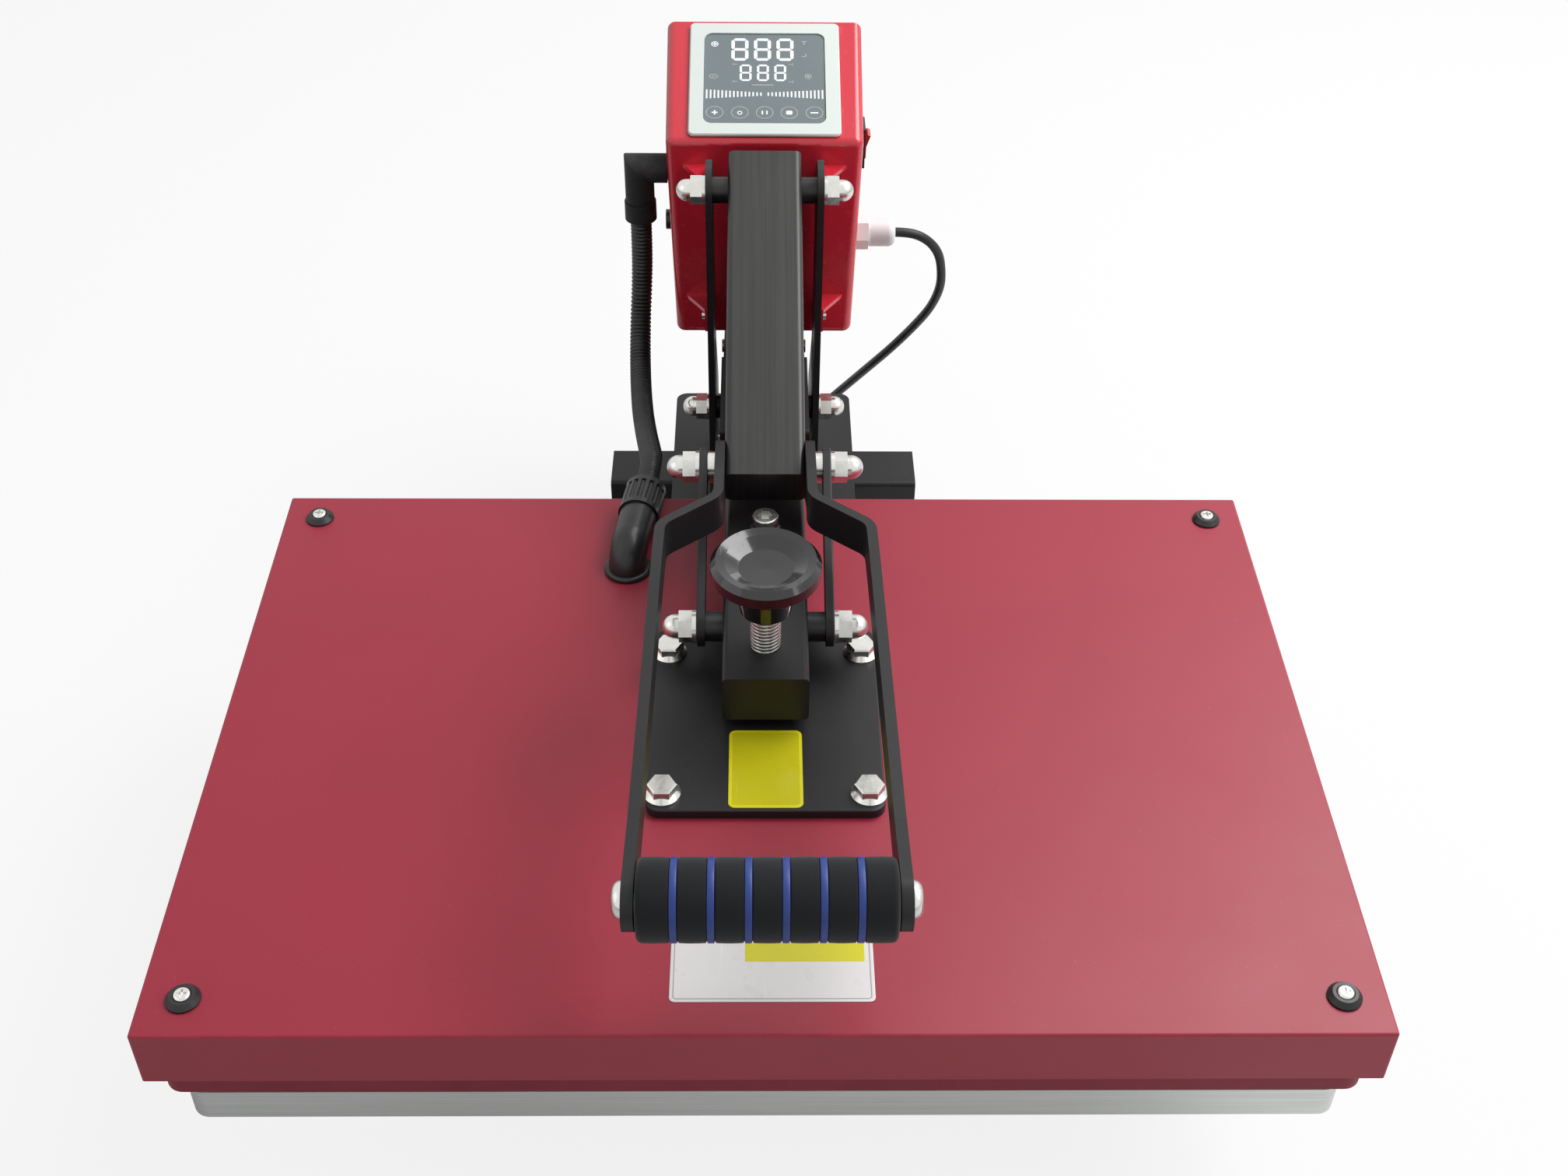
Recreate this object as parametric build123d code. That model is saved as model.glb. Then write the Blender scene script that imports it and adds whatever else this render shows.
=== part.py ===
from build123d import *
from math import atan2, cos, degrees, hypot, pi, radians, sin, sqrt, tan
import os

os.makedirs("parts", exist_ok=True)

# A flat clamshell heat press. Lengths are in millimetres and angles in degrees.
# X is to the right, Y runs backwards from the front edge of the cover, Z is up from the table.
# Every solid is modelled in these axes and moved to the middle of the overall length when it is written.

# Upper platen
cover_width = 635.0
cover_depth = 437.0
cover_height = 37.0
cover_sheet = 1.5
shield_inset = 6.0
shield_height = 27.0
shield_sheet = 1.5
shield_corner = 10.0
lip_drop = 18.0
platen_clearance = 5.0
platen_width = cover_width - 2 * (shield_inset + shield_sheet + platen_clearance)
platen_depth = cover_depth - 2 * (shield_inset + shield_sheet + platen_clearance)
platen_corner = 10.0
heating_plate_t = 14.0
heating_plate_proud = 2.0
element_d = 8.0
element_pitch = 60.0
element_margin = 40.0
insulation_t = 4.0
insulation_margin = 12.0
probe_d = 6.0
probe_length = 42.0
probe_x = 96.0

# Lower platen, pad and base
foot_height = 17.0
foot_d = 32.0
foot_inset = 24.0
crossbar_height = 35.0
crossbar_depth = 46.0
crossbar_wall = 3.0
front_crossbar_width = 400.0
front_crossbar_y = 92.0
rear_crossbar_width = 243.0
rear_crossbar_y = 628.0
spine_width = 144.0
spine_t = 8.0
spine_front_y = 70.0
spine_rear_y = 742.0
spine_corner = 9.0
beam_height = 38.0
beam_depth = 40.0
beam_wall = 3.0
beam_length = 420.0
beam_offset = 118.0
lower_platen_t = 22.0
pad_t = 8.0
pad_margin = 5.0

# Pivots: distance back from the front edge of the cover, height over the cover's top
hinge_y = 609.0
hinge_drop = 45.0
toggle_y = 592.0
toggle_rise = 147.0
link_y = 273.0
link_rise = 30.0
knee_share = 0.666
pivot_bolt_d = 10.0
running_gap = 0.05
hole_gap = 0.15
side_gap = 0.2
washer_t = 2.5
washer_d = 20.0
spacer_d = 18.0
nut_flats = 17.0
nut_hex_height = 8.0
nut_length = 18.0
nut_dome_d = 15.0

# Uprights, arm, links and handle
upright_t = 4.5
side_gap_inner = 36.0
upright_top_rise = 165.0
upright_slope_y = 602.0
upright_rear_rise = 141.0
upright_front = 18.0
upright_rear = 636.0
upright_foot_front = 548.0
upright_foot_rear = 690.0
arm_width = 50.0
arm_height = 32.0
arm_gap = 6.0
arm_wall = 3.0
arm_front_y = 212.0
arm_rear_y = 545.0
cheek_t = 5.0
cheek_front_y = 455.0
cheek_eye_r = 21.0
sleeve_wall = 5.0
handle_tube_width = 50.0
handle_tube_height = 30.0
handle_wall = 2.5
handle_tube_back = 22.0
handle_tube_front = 15.0
link_t = 5.0
link_height = 24.0
fork_t = 6.0
fork_height = 24.0
fork_knee_clear = 62.0
fork_bend_run = 30.0
fork_bend_half = 61.3
grip_y = 15.0
grip_rise = 86.0
grip_length = 126.0
grip_rod_d = 14.0
foam_d = 40.0
foam_end_gap = 0.9
grip_ring_count = 6
grip_ring_pitch = 17.7
grip_ring_width = 3.6
grip_ring_depth = 1.2
grip_ring_proud = 0.3
grip_eye_r = 15.0
grip_bolt_d = 19.0
grip_bolt_height = 5.0

# Pressure screw and knob
screw_y = 242.0
screw_d = 18.0
screw_pitch = 2.5
knob_d = 63.0
knob_rise = 64.0
knob_height = 36.0
knob_hub_d = 30.0
thrust_wall = 6.0
thrust_depth = 10.0
screw_end_gap = 2.0

# Mounting plate and its fixings
mount_plate_width = 134.0
mount_plate_depth = 152.0
mount_plate_t = 6.0
mount_plate_corner = 8.0
mount_plate_y = 222.0
mount_bolt_mid_y = 218.0
mount_bolt_x = 116.0
mount_bolt_y = 117.0
mount_bolt_d = 10.0
mount_bolt_flats = 15.0
mount_bolt_flange_d = 21.0
mount_bolt_flange_t = 2.5
mount_bolt_head = 8.0
standoff_d = 22.0
corner_inset = 23.0
corner_cup_d = 18.0
corner_cup_height = 4.0
corner_screw_d = 4.0
corner_head_d = 9.0
corner_head_height = 3.2
stop_screw_y = 345.0
stop_screw_d = 10.0
stop_screw_head_d = 16.0
stop_screw_head = 9.0
stop_nut_flats = 17.0
stop_nut_t = 5.0
label_t = 0.4
yellow_label_width = 42.0
yellow_label_depth = 61.0
yellow_label_y = 148.0
white_label_width = 105.0
white_label_depth = 41.0
white_label_y = 20.5
white_label_x = 3.0

# Control box
box_front_y = 640.0
box_back_y = 748.0
box_face_height = 159.0
box_back_height = 199.0
box_half_bottom = 65.5
box_half_top = 70.0
box_wall = 3.0
wall_gap = 0.5
box_edge_r = 6.0
rear_cover_t = 3.0
ear_reach = 22.0
ear_height = 16.0
ear_t = 3.0
ear_rib = 15.0
ear_low = 16.0
ear_high = 122.0
bezel_size = 108.0
bezel_t = 3.0
bezel_corner = 4.0
display_size = 87.0
display_t = 1.0
display_corner = 6.0
board_size = 82.0
board_t = 1.6
board_depth = 7.0
relay_size = (58.0, 42.0, 28.0)
relay_place = (-42.0, 40.0)
terminal_size = (30.0, 25.0, 18.0)
terminal_place = (24.0, 45.0)
switch_y = 672.0
switch_rise = 142.0
switch_width = 15.0
switch_height = 24.0
switch_depth = 18.0
switch_bezel = 3.0
switch_tilt = 10.0
fuse_y = 660.0
fuse_rise = 86.0
fuse_d = 12.0
fuse_proud = 4.0
gland_y = 665.0
gland_rise = 73.0
gland_flats = 22.0
gland_nut = 9.0
gland_dome = 20.0
gland_thread_d = 15.0
elbow_y = 655.0
elbow_rise = 130.0
elbow_x = 90.0
elbow_d = 21.0
elbow_drop = 40.0
elbow_boot_d = 20.0

# Springs that lift the arm
spring_wire = 2.6
spring_mean_r = 6.8
spring_turns = 12
spring_x = 13.0
lever_y = 654.0
lever_drop = 20.0
anchor_y = 656.0
anchor_drop = 112.0
spring_pin_d = 10.0

# Corrugated hose and its connector on the cover
hose_d = 15.6
hose_root_d = 13.0
hose_bore = 10.5
hose_rib_pitch = 4.0
hose_insert = 16.0
connector_x = -88.0
connector_y = 362.0
connector_heading = 9.0
connector_climb = 3.0
connector_d = 24.0
connector_stem = 14.0
connector_body = 36.0
connector_nut_d = 27.0
connector_nut = 26.0

# Mains cord
cord_d = 7.0
coil_x = 0.0
coil_y = 742.0
coil_outer_r = 42.5
coil_step = 7.6
coil_layer = 7.5
coil_layer_turns = 2.0
coil_tail = 34.0
plug_d = 19.0
plug_length = 40.0
plug_pin_d = 4.8
plug_pin_length = 19.0
plug_pin_gap = 19.0
tie_width = 14.0
tie_t = 1.2
tie_gap = 0.4

# Heights worked out from the stack
crossbar_top = foot_height + crossbar_height
spine_top = crossbar_top + spine_t
beam_top = spine_top + beam_height
lower_platen_top = beam_top + lower_platen_t
pad_top = lower_platen_top + pad_t
heating_plate_top = pad_top + heating_plate_t
shield_bottom = pad_top + heating_plate_proud
cover_bottom = shield_bottom + lip_drop
cover_top = cover_bottom + cover_height
mount_plate_top = cover_top + mount_plate_t
arm_bottom = mount_plate_top + arm_gap
arm_top = arm_bottom + arm_height
hinge_z = cover_top - hinge_drop
toggle_z = cover_top + toggle_rise
link_z = cover_top + link_rise
grip_z = cover_top + grip_rise
knee_y = toggle_y + (link_y - toggle_y) * knee_share
knee_z = toggle_z + (link_z - toggle_z) * knee_share
side_outer = side_gap_inner + upright_t
fork_front_half = grip_length / 2 + fork_t
platen_y = cover_depth / 2
origin_y = (grip_y - foam_d / 2 - grip_ring_proud + box_back_y) / 2


def block(x0, x1, y0, y1, z0, z1):
    """A box between two corners."""
    return Pos((x0 + x1) / 2, (y0 + y1) / 2, (z0 + z1) / 2) * Box(x1 - x0, y1 - y0, z1 - z0)


def rod_z(r, x, y, z0, z1):
    """An upright cylinder."""
    return Pos(x, y, (z0 + z1) / 2) * Cylinder(r, z1 - z0)


def rod_x(r, x0, x1, y, z):
    """A cylinder along X."""
    return Pos((x0 + x1) / 2, y, z) * Rot(0, 90, 0) * Cylinder(r, x1 - x0)


def rounded_plate(width, depth, corner, x, y, z0, z1):
    """A flat plate with round corners in plan."""
    face = Pos(x, y, z0) * RectangleRounded(width, depth, corner)
    return extrude(face, z1 - z0, dir=(0, 0, 1))


def side_plate(points, x0, x1, radii=None):
    """A plate across X whose outline is given in Y and Z."""
    path = [(0, y, z) for y, z in points]
    wire = Polyline(*path, close=True) if radii is None else FilletPolyline(*path, radius=radii, close=True)
    face = make_face(wire)
    return extrude(Pos(x0, 0, 0) * face, x1 - x0, dir=(1, 0, 0))


def hex_x(flats, x0, x1, y, z):
    """A hexagonal prism along X."""
    face = Plane(origin=(x0, y, z), x_dir=(0, 1, 0), z_dir=(1, 0, 0)) * RegularPolygon(flats / 2, 6, False)
    return extrude(face, x1 - x0, dir=(1, 0, 0))


def hex_z(flats, x, y, z0, z1):
    """A hexagonal prism along Z."""
    return extrude(Pos(x, y, z0) * RegularPolygon(flats / 2, 6, False), z1 - z0, dir=(0, 0, 1))


def turned_z(points, x, y, z):
    """A turned piece from its half outline in radius and height."""
    outline = make_face(Polyline(*[(r, 0, h) for r, h in points], close=True))
    return Pos(x, y, z) * revolve(outline, Axis.Z)


def pair(shape):
    """A piece and its mirror image across the middle plane."""
    return [shape, mirror(shape, Plane.YZ)]


def save(name, *shapes):
    """Write one node, moved so that the middle of the overall length is at Y = 0."""
    solids = []
    for shape in shapes:
        solids.extend(shape if isinstance(shape, list) else [shape])
    parts = [Pos(0, -origin_y, 0) * part for shape in solids for part in shape.solids()]
    whole = parts[0] if len(parts) == 1 else Compound(children=parts)
    export_step(whole, f"parts/{name}.step")


def cap_nut(side, x, y, z, stud=0.0):
    """A domed cap nut on X, its flat face at x and its dome outwards, with an optional stud inwards."""
    hexagon = hex_x(nut_flats, x, x + nut_hex_height, y, z)
    dome_r = nut_dome_d / 2
    straight = nut_length - dome_r
    barrel = rod_x(dome_r, x, x + straight, y, z)
    nut = hexagon + barrel + Pos(x + straight, y, z) * Sphere(dome_r)
    bore_end = x + straight - 1.0
    nut -= rod_x(pivot_bolt_d / 2 + running_gap, x - 1, bore_end, y, z)
    if stud:
        nut += rod_x(pivot_bolt_d / 2 + running_gap, x - stud, bore_end, y, z)
    return nut if side > 0 else mirror(nut, Plane.YZ)


def washer(x0, y, z, thickness=washer_t, d=washer_d, bore=pivot_bolt_d + 2 * hole_gap):
    """A ring on X from x0 outwards."""
    return rod_x(d / 2, x0, x0 + thickness, y, z) - rod_x(bore / 2, x0 - 1, x0 + thickness + 1, y, z)


# Upper platen

def mount_points():
    """The four places of the mounting bolts."""
    return [(sx * mount_bolt_x / 2, mount_bolt_mid_y + sy * mount_bolt_y / 2) for sx in (-1, 1) for sy in (-1, 1)]


def corner_points():
    """The four places of the cover screws."""
    x = cover_width / 2 - corner_inset
    return [(sx * x, y) for sx in (-1, 1) for y in (corner_inset, cover_depth - corner_inset)]


connector_bore = connector_d - 6.0
thrust_r = screw_d / 2 + running_gap + thrust_wall
shield_top = shield_bottom + shield_height


def make_cover():
    """The folded sheet cover, open below, with its holes."""
    outer = block(-cover_width / 2, cover_width / 2, 0, cover_depth, cover_bottom, cover_top)
    outer = fillet(outer.edges().filter_by(Axis.Z) + outer.edges().group_by(Axis.Z)[-1], 1.6)
    t = cover_sheet
    inner = block(-cover_width / 2 + t, cover_width / 2 - t, t, cover_depth - t, cover_bottom - 1, cover_top - t)
    cover = outer - inner
    for x, y in mount_points():
        cover -= rod_z(mount_bolt_d / 2 + hole_gap, x, y, cover_bottom, cover_top + 1)
    for x, y in corner_points():
        cover -= rod_z(corner_screw_d / 2 + hole_gap, x, y, cover_bottom, cover_top + 1)
    cover -= rod_z(thrust_r + hole_gap, 0, screw_y, cover_bottom, cover_top + 1)
    cover -= rod_z(connector_bore / 2, connector_x, connector_y, cover_bottom, cover_top + 1)
    return cover


def make_shield():
    """The inner tray whose edge shows as a lip below the cover."""
    w = cover_width - 2 * shield_inset
    d = cover_depth - 2 * shield_inset
    t = shield_sheet
    tray = rounded_plate(w, d, shield_corner, 0, platen_y, shield_bottom, shield_top)
    inner = rounded_plate(w - 2 * t, d - 2 * t, shield_corner - t, 0, platen_y, shield_bottom - 1, shield_top - t)
    tray -= inner
    for x, y in mount_points():
        tray -= rod_z(standoff_d / 2 + hole_gap, x, y, shield_bottom, shield_top + 1)
    tray -= rod_z(connector_bore / 2, connector_x, connector_y, shield_bottom, shield_top + 1)
    return tray


def make_heating_plate():
    """The flat aluminium heating plate."""
    return rounded_plate(platen_width, platen_depth, platen_corner, 0, platen_y, pad_top, heating_plate_top)


def make_element():
    """The tubular heating element, laid in hairpins on the plate."""
    half = platen_width / 2 - element_margin
    rows = int((platen_depth - 2 * element_margin) // element_pitch) + 1
    first = platen_y - (rows - 1) * element_pitch / 2
    z = heating_plate_top + element_d / 2
    points = []
    for row in range(rows):
        ends = [-half, half] if row % 2 == 0 else [half, -half]
        points += [(x, first + row * element_pitch, z) for x in ends]
    path = FilletPolyline(*points, radius=element_pitch / 2 - 0.5)
    start = Plane(origin=path @ 0, z_dir=path % 0)
    return sweep(start * Circle(element_d / 2), path=path)


def make_insulation():
    """The blanket between the heating element and the tray."""
    z0 = shield_top - shield_sheet - insulation_t
    w = platen_width - 2 * insulation_margin
    d = platen_depth - 2 * insulation_margin
    blanket = rounded_plate(w, d, platen_corner, 0, platen_y, z0, shield_top - shield_sheet)
    for x, y in mount_points():
        blanket -= rod_z(standoff_d / 2 + 1, x, y, z0 - 1, shield_top)
    blanket -= rod_z(connector_bore / 2, connector_x, connector_y, z0 - 1, shield_top)
    return blanket


def make_standoffs():
    """Posts that carry the heating plate from the mounting bolts, and those under the cover screws."""
    posts = []
    for x, y in mount_points():
        post = rod_z(standoff_d / 2, x, y, heating_plate_top, cover_top - cover_sheet)
        posts.append(post - rod_z(mount_bolt_d / 2 + hole_gap, x, y, heating_plate_top + 2, cover_top))
    for x, y in corner_points():
        post = rod_z(corner_screw_d, x, y, shield_top, cover_top - cover_sheet)
        posts.append(post - rod_z(corner_screw_d / 2 + hole_gap, x, y, shield_top + 1, cover_top))
    return posts


def make_mount_plate():
    """The thick plate under the arm, with the socket that holds the screw's end."""
    plate = rounded_plate(mount_plate_width, mount_plate_depth, mount_plate_corner, 0, mount_plate_y,
                          cover_top, mount_plate_top)
    plate = fillet(plate.edges().group_by(Axis.Z)[-1], 1.0)
    plate += rod_z(thrust_r, 0, screw_y, cover_top - thrust_depth, cover_top)
    floor = cover_top - thrust_depth + screw_end_gap
    plate -= rod_z(screw_d / 2 + running_gap, 0, screw_y, floor, mount_plate_top + 1)
    for x, y in mount_points():
        plate -= rod_z(mount_bolt_d / 2 + hole_gap, x, y, cover_top - 1, mount_plate_top + 1)
    return plate


def make_flange_bolts():
    """Hexagon flange bolts with a dished flange."""
    bolts = []
    r = mount_bolt_flange_d / 2
    for x, y in mount_points():
        profile = [(0, 0), (r, 0), (r, 1.0), (mount_bolt_flats / 2, mount_bolt_flange_t + 0.8),
                   (0, mount_bolt_flange_t + 0.8)]
        head = turned_z(profile, x, y, mount_plate_top)
        hexagon = hex_z(mount_bolt_flats, x, y, mount_plate_top + 1, mount_plate_top + mount_bolt_head)
        hexagon = chamfer(hexagon.faces().sort_by(Axis.Z)[-1].edges(), 0.8)
        shank = rod_z(mount_bolt_d / 2, x, y, heating_plate_top + 3, mount_plate_top + 1)
        bolts.append(head + hexagon + shank)
    return bolts


def make_corner_cups():
    """Black cup washers under the cover screws."""
    r = corner_cup_d / 2
    bore = corner_screw_d / 2 + hole_gap
    seat = corner_head_d / 2 + 0.3
    h = corner_cup_height
    profile = [(bore, 0), (r, 0), (r, 1.2), (r - 2.4, h), (seat, h), (seat, h - 2.0), (bore, h - 2.0)]
    return [turned_z(profile, x, y, cover_top) for x, y in corner_points()]


def make_corner_screws():
    """Pan head screws with a cross recess."""
    screws = []
    z = cover_top + corner_cup_height - 2.0
    for x, y in corner_points():
        head = rod_z(corner_head_d / 2, x, y, z, z + corner_head_height)
        head = fillet(head.faces().sort_by(Axis.Z)[-1].edges(), 1.6)
        for length, width in ((5.0, 1.1), (1.1, 5.0)):
            head -= Pos(x, y, z + corner_head_height) * Box(length, width, 3.0)
        screws.append(head + rod_z(corner_screw_d / 2, x, y, cover_top - 10, z))
    return screws


def make_probe():
    """The temperature probe that lies on the heating plate."""
    z = heating_plate_top + probe_d / 2
    y = platen_y
    probe = Pos(probe_x, y, z) * Rot(0, 90, 0) * Cylinder(probe_d / 2, probe_length)
    clip = block(probe_x - 6, probe_x + 6, y - 7, y + 7, heating_plate_top, heating_plate_top + probe_d + 1)
    channel = block(probe_x - 10, probe_x + 10, y - probe_d / 2, y + probe_d / 2, heating_plate_top - 1, z)
    return [probe, clip - rod_x(probe_d / 2, probe_x - 10, probe_x + 10, y, z) - channel]


# Connector, hose and elbow

heading = radians(connector_heading)
climb = radians(connector_climb)
connector_dir = Vector(sin(heading) * cos(climb), cos(heading) * cos(climb), sin(climb))
connector_foot = Vector(connector_x, connector_y, cover_top)
connector_bend = connector_foot + Vector(0, 0, connector_stem)
connector_end = connector_bend + connector_dir * connector_body
connector_mouth = connector_end + connector_dir * connector_nut


def make_connector():
    """The bent connector on the cover, with its flange and its ribbed nut."""
    bend_r = connector_d / 2 + 1.0
    path = FilletPolyline(connector_foot, connector_bend, connector_end, radius=bend_r)
    start = Plane(origin=connector_foot, z_dir=(0, 0, 1))
    body = sweep(start * Circle(connector_d / 2), path=path)
    bore = sweep(start * Circle(connector_bore / 2), path=path)
    flange = rod_z(connector_d / 2 + 3, connector_x, connector_y, cover_top, cover_top + 3.5)
    flange = fillet(flange.faces().sort_by(Axis.Z)[-1].edges(), 2.0)
    body = body + flange - bore
    at = Plane(origin=connector_end, x_dir=(1, 0, 0), z_dir=connector_dir)
    nut = extrude(at * Circle(connector_nut_d / 2), connector_nut)
    rib = 1.6
    for k in range(16):
        turn = at * Rot(0, 0, k * 22.5)
        nut -= turn * Pos(connector_nut_d / 2 + 0.4, 0, connector_nut / 2) * Cylinder(rib, connector_nut - 8)
    nut -= extrude(at * Circle(hose_d / 2 + 0.3), connector_nut)
    return [body, nut]


hose_top = Vector(-elbow_x, elbow_y, cover_top + elbow_rise - elbow_drop)
hose_points = [
    hose_top + Vector(0, 0, hose_insert),
    Vector(-elbow_x, elbow_y, cover_top + 66),
    Vector(-91, 651, cover_top + 38),
    Vector(-92.5, 636, cover_top + 12),
    Vector(-92, 605, cover_top - 8),
    Vector(-89, 564, cover_top - 15),
    Vector(-84, 524, cover_top - 10),
    Vector(-79, 484, cover_top + 5),
    connector_mouth + connector_dir * 24.0,
    connector_mouth - connector_dir * hose_insert,
]


def route_radii(points):
    """The largest steady arc at each corner of a route."""
    radii = []
    for a, b, c in zip(points, points[1:], points[2:]):
        turn = radians((b - a).get_angle(c - b))
        radii.append(0.45 * min((b - a).length, (c - b).length) / tan(turn / 2))
    return radii


def make_hose():
    """The corrugated hose: ribs lofted along its route, with a round bore."""
    path = FilletPolyline(*hose_points, radius=route_radii(hose_points))
    length = path.length
    plain = hose_insert + 1.5
    ribs = int((length - 2 * plain) // hose_rib_pitch)
    pitch = (length - 2 * plain) / ribs
    stations = [(0.0, hose_root_d), (plain, hose_root_d)]
    for k in range(ribs):
        at = plain + k * pitch
        stations += [(at + 0.15 * pitch, hose_root_d), (at + 0.35 * pitch, hose_d),
                     (at + 0.75 * pitch, hose_d), (at + 0.95 * pitch, hose_root_d)]
    stations += [(length, hose_root_d)]
    rings = []
    for at, d in stations:
        where = path.location_at(at / length)
        plane = Plane(origin=where.position, x_dir=(1, 0, 0), z_dir=path % (at / length))
        rings.append(plane * Circle(d / 2))
    outer = Solid(loft(rings, ruled=True).wrapped)
    start = Plane(origin=path @ 0, x_dir=(1, 0, 0), z_dir=path % 0)
    bore = sweep(start * Circle(hose_bore / 2), path=path)
    print("hose length", round(length, 1), "ribs", ribs, "radii", [round(r) for r in route_radii(hose_points)])
    return outer - bore


def make_elbow():
    """The rubber elbow on the side of the control box, with the boot that grips the hose."""
    z = cover_top + elbow_rise
    wall_x = -box_half(elbow_rise) - wall_gap
    path = Polyline((wall_x, elbow_y, z), (-elbow_x, elbow_y, z), (-elbow_x, elbow_y, z - elbow_drop + 12))
    start = Plane(origin=(wall_x, elbow_y, z), z_dir=(-1, 0, 0))
    body = sweep(start * Circle(elbow_d / 2), path=path, transition=Transition.RIGHT)
    body += rod_z(elbow_boot_d / 2 + 1.5, -elbow_x, elbow_y, z - elbow_drop, z - elbow_drop + 14)
    body -= rod_z(hose_root_d / 2 + 0.3, -elbow_x, elbow_y, z - elbow_drop - 1, z - elbow_drop + hose_insert + 1)
    stub = rod_x(elbow_d / 2 - 4, wall_x - 0.5, wall_x + wall_gap + box_wall + 3, elbow_y, z)
    return body + stub


# Pivots

def make_frame_pins():
    """The toggle bolt, the hinge bolt and the spring anchor pin."""
    reach = side_outer + washer_t + 9.0
    r = pivot_bolt_d / 2
    toggle = rod_x(r, -reach, reach, toggle_y, toggle_z)
    hinge = rod_x(r, -reach, reach, hinge_y, hinge_z)
    anchor_z = cover_top - anchor_drop
    anchor = rod_x(spring_pin_d / 2, -side_outer - 1, side_outer + 1, anchor_y, anchor_z)
    return [toggle, hinge, anchor]


def make_frame_nuts():
    """Cap nuts and washers of the two bolts in the uprights."""
    pieces = []
    for y, z in ((toggle_y, toggle_z), (hinge_y, hinge_z)):
        pieces += pair(washer(side_outer, y, z))
        pieces += [cap_nut(side, side_outer + washer_t, y, z) for side in (-1, 1)]
    return pieces


def make_frame_spacers():
    """Black spacers between the uprights and what turns between them."""
    pieces = []
    inner = handle_tube_width / 2 + side_gap
    pieces += pair(washer(inner, toggle_y, toggle_z, side_gap_inner - inner, spacer_d))
    inner = arm_width / 2 + cheek_t + side_gap
    pieces += pair(washer(inner, hinge_y, hinge_z, side_gap_inner - inner, spacer_d))
    return pieces


def make_link_nuts():
    """Cap nuts and washers at the front end of the links."""
    x = side_gap_inner + link_t + side_gap
    pieces = pair(washer(x, link_y, link_z))
    return pieces + [cap_nut(side, x + washer_t, link_y, link_z) for side in (-1, 1)]


def make_link_spacers():
    """Black spacers between the arm and the links."""
    x = arm_width / 2
    return pair(washer(x, link_y, link_z, side_gap_inner - side_gap - x, spacer_d))


def make_knee_nuts():
    """Cap nuts with their studs, and washers, on the rear ends of the links."""
    x = side_gap_inner + link_t
    pieces = pair(washer(x, knee_y, knee_z))
    return pieces + [cap_nut(side, x + washer_t, knee_y, knee_z, link_t + washer_t) for side in (-1, 1)]


def make_link(side):
    """One flat link with round ends."""
    tilt = degrees(atan2(knee_z - link_z, knee_y - link_y))
    length = hypot(knee_y - link_y, knee_z - link_z)
    outline = SlotCenterToCenter(length, link_height)
    plane = Plane(origin=(side_gap_inner, (knee_y + link_y) / 2, (knee_z + link_z) / 2),
                  x_dir=(0, cos(radians(tilt)), sin(radians(tilt))), z_dir=(1, 0, 0))
    link = extrude(plane * outline, link_t, dir=(1, 0, 0))
    link = fillet(link.faces().sort_by(Axis.X)[-1].edges(), 0.8)
    bolt_r = pivot_bolt_d / 2 + running_gap
    link -= rod_x(bolt_r, side_gap_inner - 1, side_outer + 2, link_y, link_z)
    link -= rod_x(bolt_r + running_gap, side_gap_inner - 1, side_outer + 2, knee_y, knee_z)
    return link if side > 0 else mirror(link, Plane.YZ)


# Arm

def make_arm_tube():
    """The arm: a rectangular tube closed at its front, with the screw thread's bore."""
    half = arm_width / 2
    tube = block(-half, half, arm_front_y, arm_rear_y, arm_bottom, arm_top)
    tube = fillet(tube.edges().filter_by(Axis.Y), 3.0)
    t = arm_wall
    tube -= block(-half + t, half - t, arm_front_y + t, arm_rear_y + 1, arm_bottom + t, arm_top - t)
    collar = screw_d / 2 + 6
    tube += rod_z(collar, 0, screw_y, arm_bottom + t / 2, arm_top - t / 2)
    tube -= rod_z(screw_d / 2 + running_gap, 0, screw_y, arm_bottom - 1, arm_top + 1)
    tube -= rod_x(pivot_bolt_d / 2 + running_gap, -half - 1, half + 1, link_y, link_z)
    tube -= rod_z(stop_screw_d / 2 + running_gap, 0, stop_screw_y, arm_top - t - 1, arm_top + 1)
    return tube


def make_cheeks():
    """The two side cheeks that drop from the arm to the hinge, and the sleeve between them."""
    half = arm_width / 2
    lever_z = cover_top - lever_drop
    outline = [(cheek_front_y, arm_bottom + 2), (cheek_front_y, arm_top - 2), (arm_rear_y, arm_top - 2),
               (hinge_y - 11, hinge_z + 48), (lever_y + 9, lever_z + 10), (lever_y + 11, lever_z - 8),
               (hinge_y + 14, hinge_z - 18), (hinge_y - 14, hinge_z - 18), (hinge_y - 40, hinge_z + 22)]
    cheek = side_plate(outline, half, half + cheek_t, [3, 3, 12, 14, 7, 7, 12, 12, 14])
    sleeve_r = pivot_bolt_d / 2 + running_gap + sleeve_wall
    cheek -= rod_x(sleeve_r, half - 1, half + cheek_t + 1, hinge_y, hinge_z)
    cheek -= rod_x(spring_pin_d / 2, half - 1, half + cheek_t + 1, lever_y, lever_z)
    sleeve = rod_x(sleeve_r, -half - cheek_t, half + cheek_t, hinge_y, hinge_z)
    sleeve -= rod_x(pivot_bolt_d / 2 + running_gap, -half - cheek_t - 1, half + cheek_t + 1, hinge_y, hinge_z)
    return pair(cheek) + [sleeve]


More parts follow.
